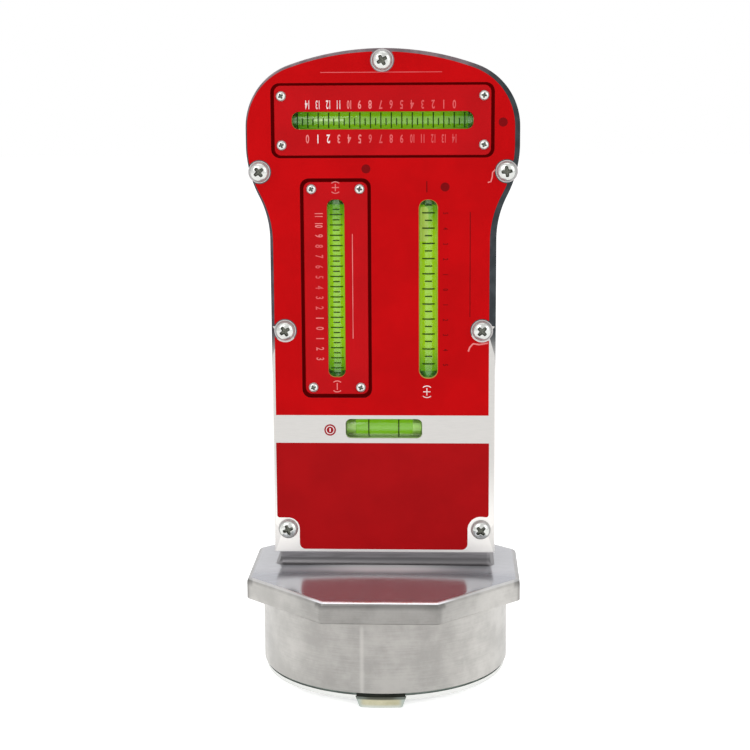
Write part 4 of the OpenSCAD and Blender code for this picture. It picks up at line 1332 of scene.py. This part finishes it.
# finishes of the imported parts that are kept, with the names of their nodes
KEPT = {
    "holder_bar": "camber_holder caster_holder kpi_holder",
    # the level holder is lightened, painted light against its shade
    "light_holder": "level_holder",
    "plug": "camber_vial_plugs caster_vial_plugs kpi_vial_plugs",
    "light_plug": "level_vial_plugs",
    "dark_steel": "camber_screws level_screws pot_screws caster_washer kpi_washer "
                  "caster_clip kpi_clip",
    "ferrite": "magnet_ring",
    "resin": "magnet_filler",
    "pot_steel": "centre_pole",
    "ground_steel": "centre_pin caster_pivot_pin kpi_pivot_pin",
    "turned_brass": "caster_nut kpi_nut",
    "spring_wire": "centre_spring caster_spring kpi_spring",
}


class GAUGE_OT_inner_parts(bpy.types.Operator):
    """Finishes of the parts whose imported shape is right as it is"""

    bl_idname = "gauge.inner_parts"
    bl_label = "Inner parts"

    def execute(self, context):
        for name, nodes in KEPT.items():
            for node in nodes.split():
                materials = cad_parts[node].data.materials
                materials.clear()
                materials.append(finish(name))
        return {"FINISHED"}


# ---- the studio ----


class GAUGE_OT_studio(bpy.types.Operator):
    """Floor, world, lamps and the camera"""

    bl_idname = "gauge.studio"
    bl_label = "Studio"

    def camera(self, scene):
        """The camera stands 0.55 m in front of the gauge and looks 9.9 degrees down."""
        place = Vector((21.55, -552.98, 198.05)) * MM
        yaw, pitch, roll = 0.0445, 0.1725, -0.0057
        focal_pixels, photo_pixels = 1684.53, 750
        ahead = Vector((-math.sin(yaw) * math.cos(pitch), math.cos(yaw) * math.cos(pitch),
                        -math.sin(pitch)))
        right = Vector((math.cos(yaw), math.sin(yaw), 0))
        up = right.cross(ahead)
        side = math.cos(roll) * right + math.sin(roll) * up
        top = -math.sin(roll) * right + math.cos(roll) * up
        data = bpy.data.cameras.new("camera")
        data.sensor_width = 36.0
        data.lens = focal_pixels / photo_pixels * data.sensor_width
        data.clip_start, data.clip_end = 0.01, 50
        scene.camera = put("camera", data)
        turn = Matrix((side, top, -ahead)).transposed()
        scene.camera.matrix_world = Matrix.Translation(place) @ turn.to_4x4()

    def lamp(self, name, place, width, power):
        """A square soft lamp that faces the middle of the gauge. Place and width are in
        metres, power in watts."""
        data = bpy.data.lights.new(name, "AREA")
        data.shape, data.size, data.energy = "SQUARE", width, power
        turn = (Vector((0, 0, 0.1)) - Vector(place)).to_track_quat("-Z", "Y").to_matrix()
        put(name, data).matrix_world = Matrix.Translation(place) @ turn.to_4x4()

    def world(self, scene):
        """White where the camera, metal or glass sees it; softer as a lamp."""
        scene.world = bpy.data.worlds.new("studio")
        scene.world.use_nodes = True
        n = Nodes(scene.world.node_tree)
        seen = n.rays("Camera", "Glossy", "Transmission")
        level = n.node("MapRange", {"Value": seen, "To Min": 0.62, "To Max": 1.0})
        n.feed(n.tree.nodes["Background"], {"Strength": level, "Color": (1, 1, 1, 1)})

    def floor(self):
        """A pale floor that shows white to the camera and keeps the gauge's shadow."""
        mesh = bpy.data.meshes.new("floor")
        half = 4.0
        corners = [(-half, -half, 0), (half, -half, 0), (half, half, 0), (-half, half, 0)]
        mesh.from_pydata(corners, [], [(0, 1, 2, 3)])
        f = Finish("floor", (0.86, 0.86, 0.86), 0.9, shine=0.0)
        f.wear({"Emission Color": (1, 1, 1, 1),
                "Emission Strength": f.span(f.rays("Camera", "Glossy"), 0, 1, 0, 0.6)})
        mesh.materials.append(f.material)
        put("floor", mesh)

    def execute(self, context):
        self.camera(context.scene)
        self.world(context.scene)
        self.floor()
        self.lamp("key", (-0.5, -0.9, 0.75), 0.7, 3.2)
        self.lamp("fill", (0.8, -0.6, 0.5), 0.7, 1.7)
        self.lamp("top", (0.0, 0.1, 1.2), 0.8, 1.8)
        context.scene.view_settings.view_transform = "Standard"
        return {"FINISHED"}


# ---- the add-on ----


class GAUGE_PT_pieces(bpy.types.Panel):
    """Lists the sizes, the colours and the pieces"""

    bl_idname = "GAUGE_PT_pieces"
    bl_label = "Camber caster gauge"
    bl_space_type = "VIEW_3D"
    bl_region_type = "UI"
    bl_category = "Gauge"

    def draw(self, context):
        """One box for each group of values, then a button for each operator."""
        for group in (context.scene.gauge_sizes, context.scene.gauge_colours):
            box = self.layout.box()
            for name in group.bl_rna.properties.keys():
                if name not in ("rna_type", "name"):
                    box.prop(group, name)
        for operator in PIECES:
            self.layout.operator(operator.bl_idname)


PIECES = [GAUGE_OT_studio, GAUGE_OT_casting, GAUGE_OT_panel, GAUGE_OT_print,
          GAUGE_OT_covers, GAUGE_OT_vials, GAUGE_OT_screws, GAUGE_OT_knobs, GAUGE_OT_base,
          GAUGE_OT_inner_parts]
CLASSES = [GaugeSizes, GaugeColours, *PIECES, GAUGE_PT_pieces]


def register():
    """Adds the classes and the scene's sizes and colours."""
    for each in CLASSES:
        bpy.utils.register_class(each)
    bpy.types.Scene.gauge_sizes = PointerProperty(type=GaugeSizes)
    bpy.types.Scene.gauge_colours = PointerProperty(type=GaugeColours)


def unregister():
    """Takes them away again, the last one first."""
    del bpy.types.Scene.gauge_colours
    del bpy.types.Scene.gauge_sizes
    for each in reversed(CLASSES):
        bpy.utils.unregister_class(each)


def main():
    """Builds every piece on the frame."""
    register()
    for operator in PIECES:
        group, name = operator.bl_idname.split(".")
        getattr(getattr(bpy.ops, group), name)()


if __name__ == "__main__":
    main()
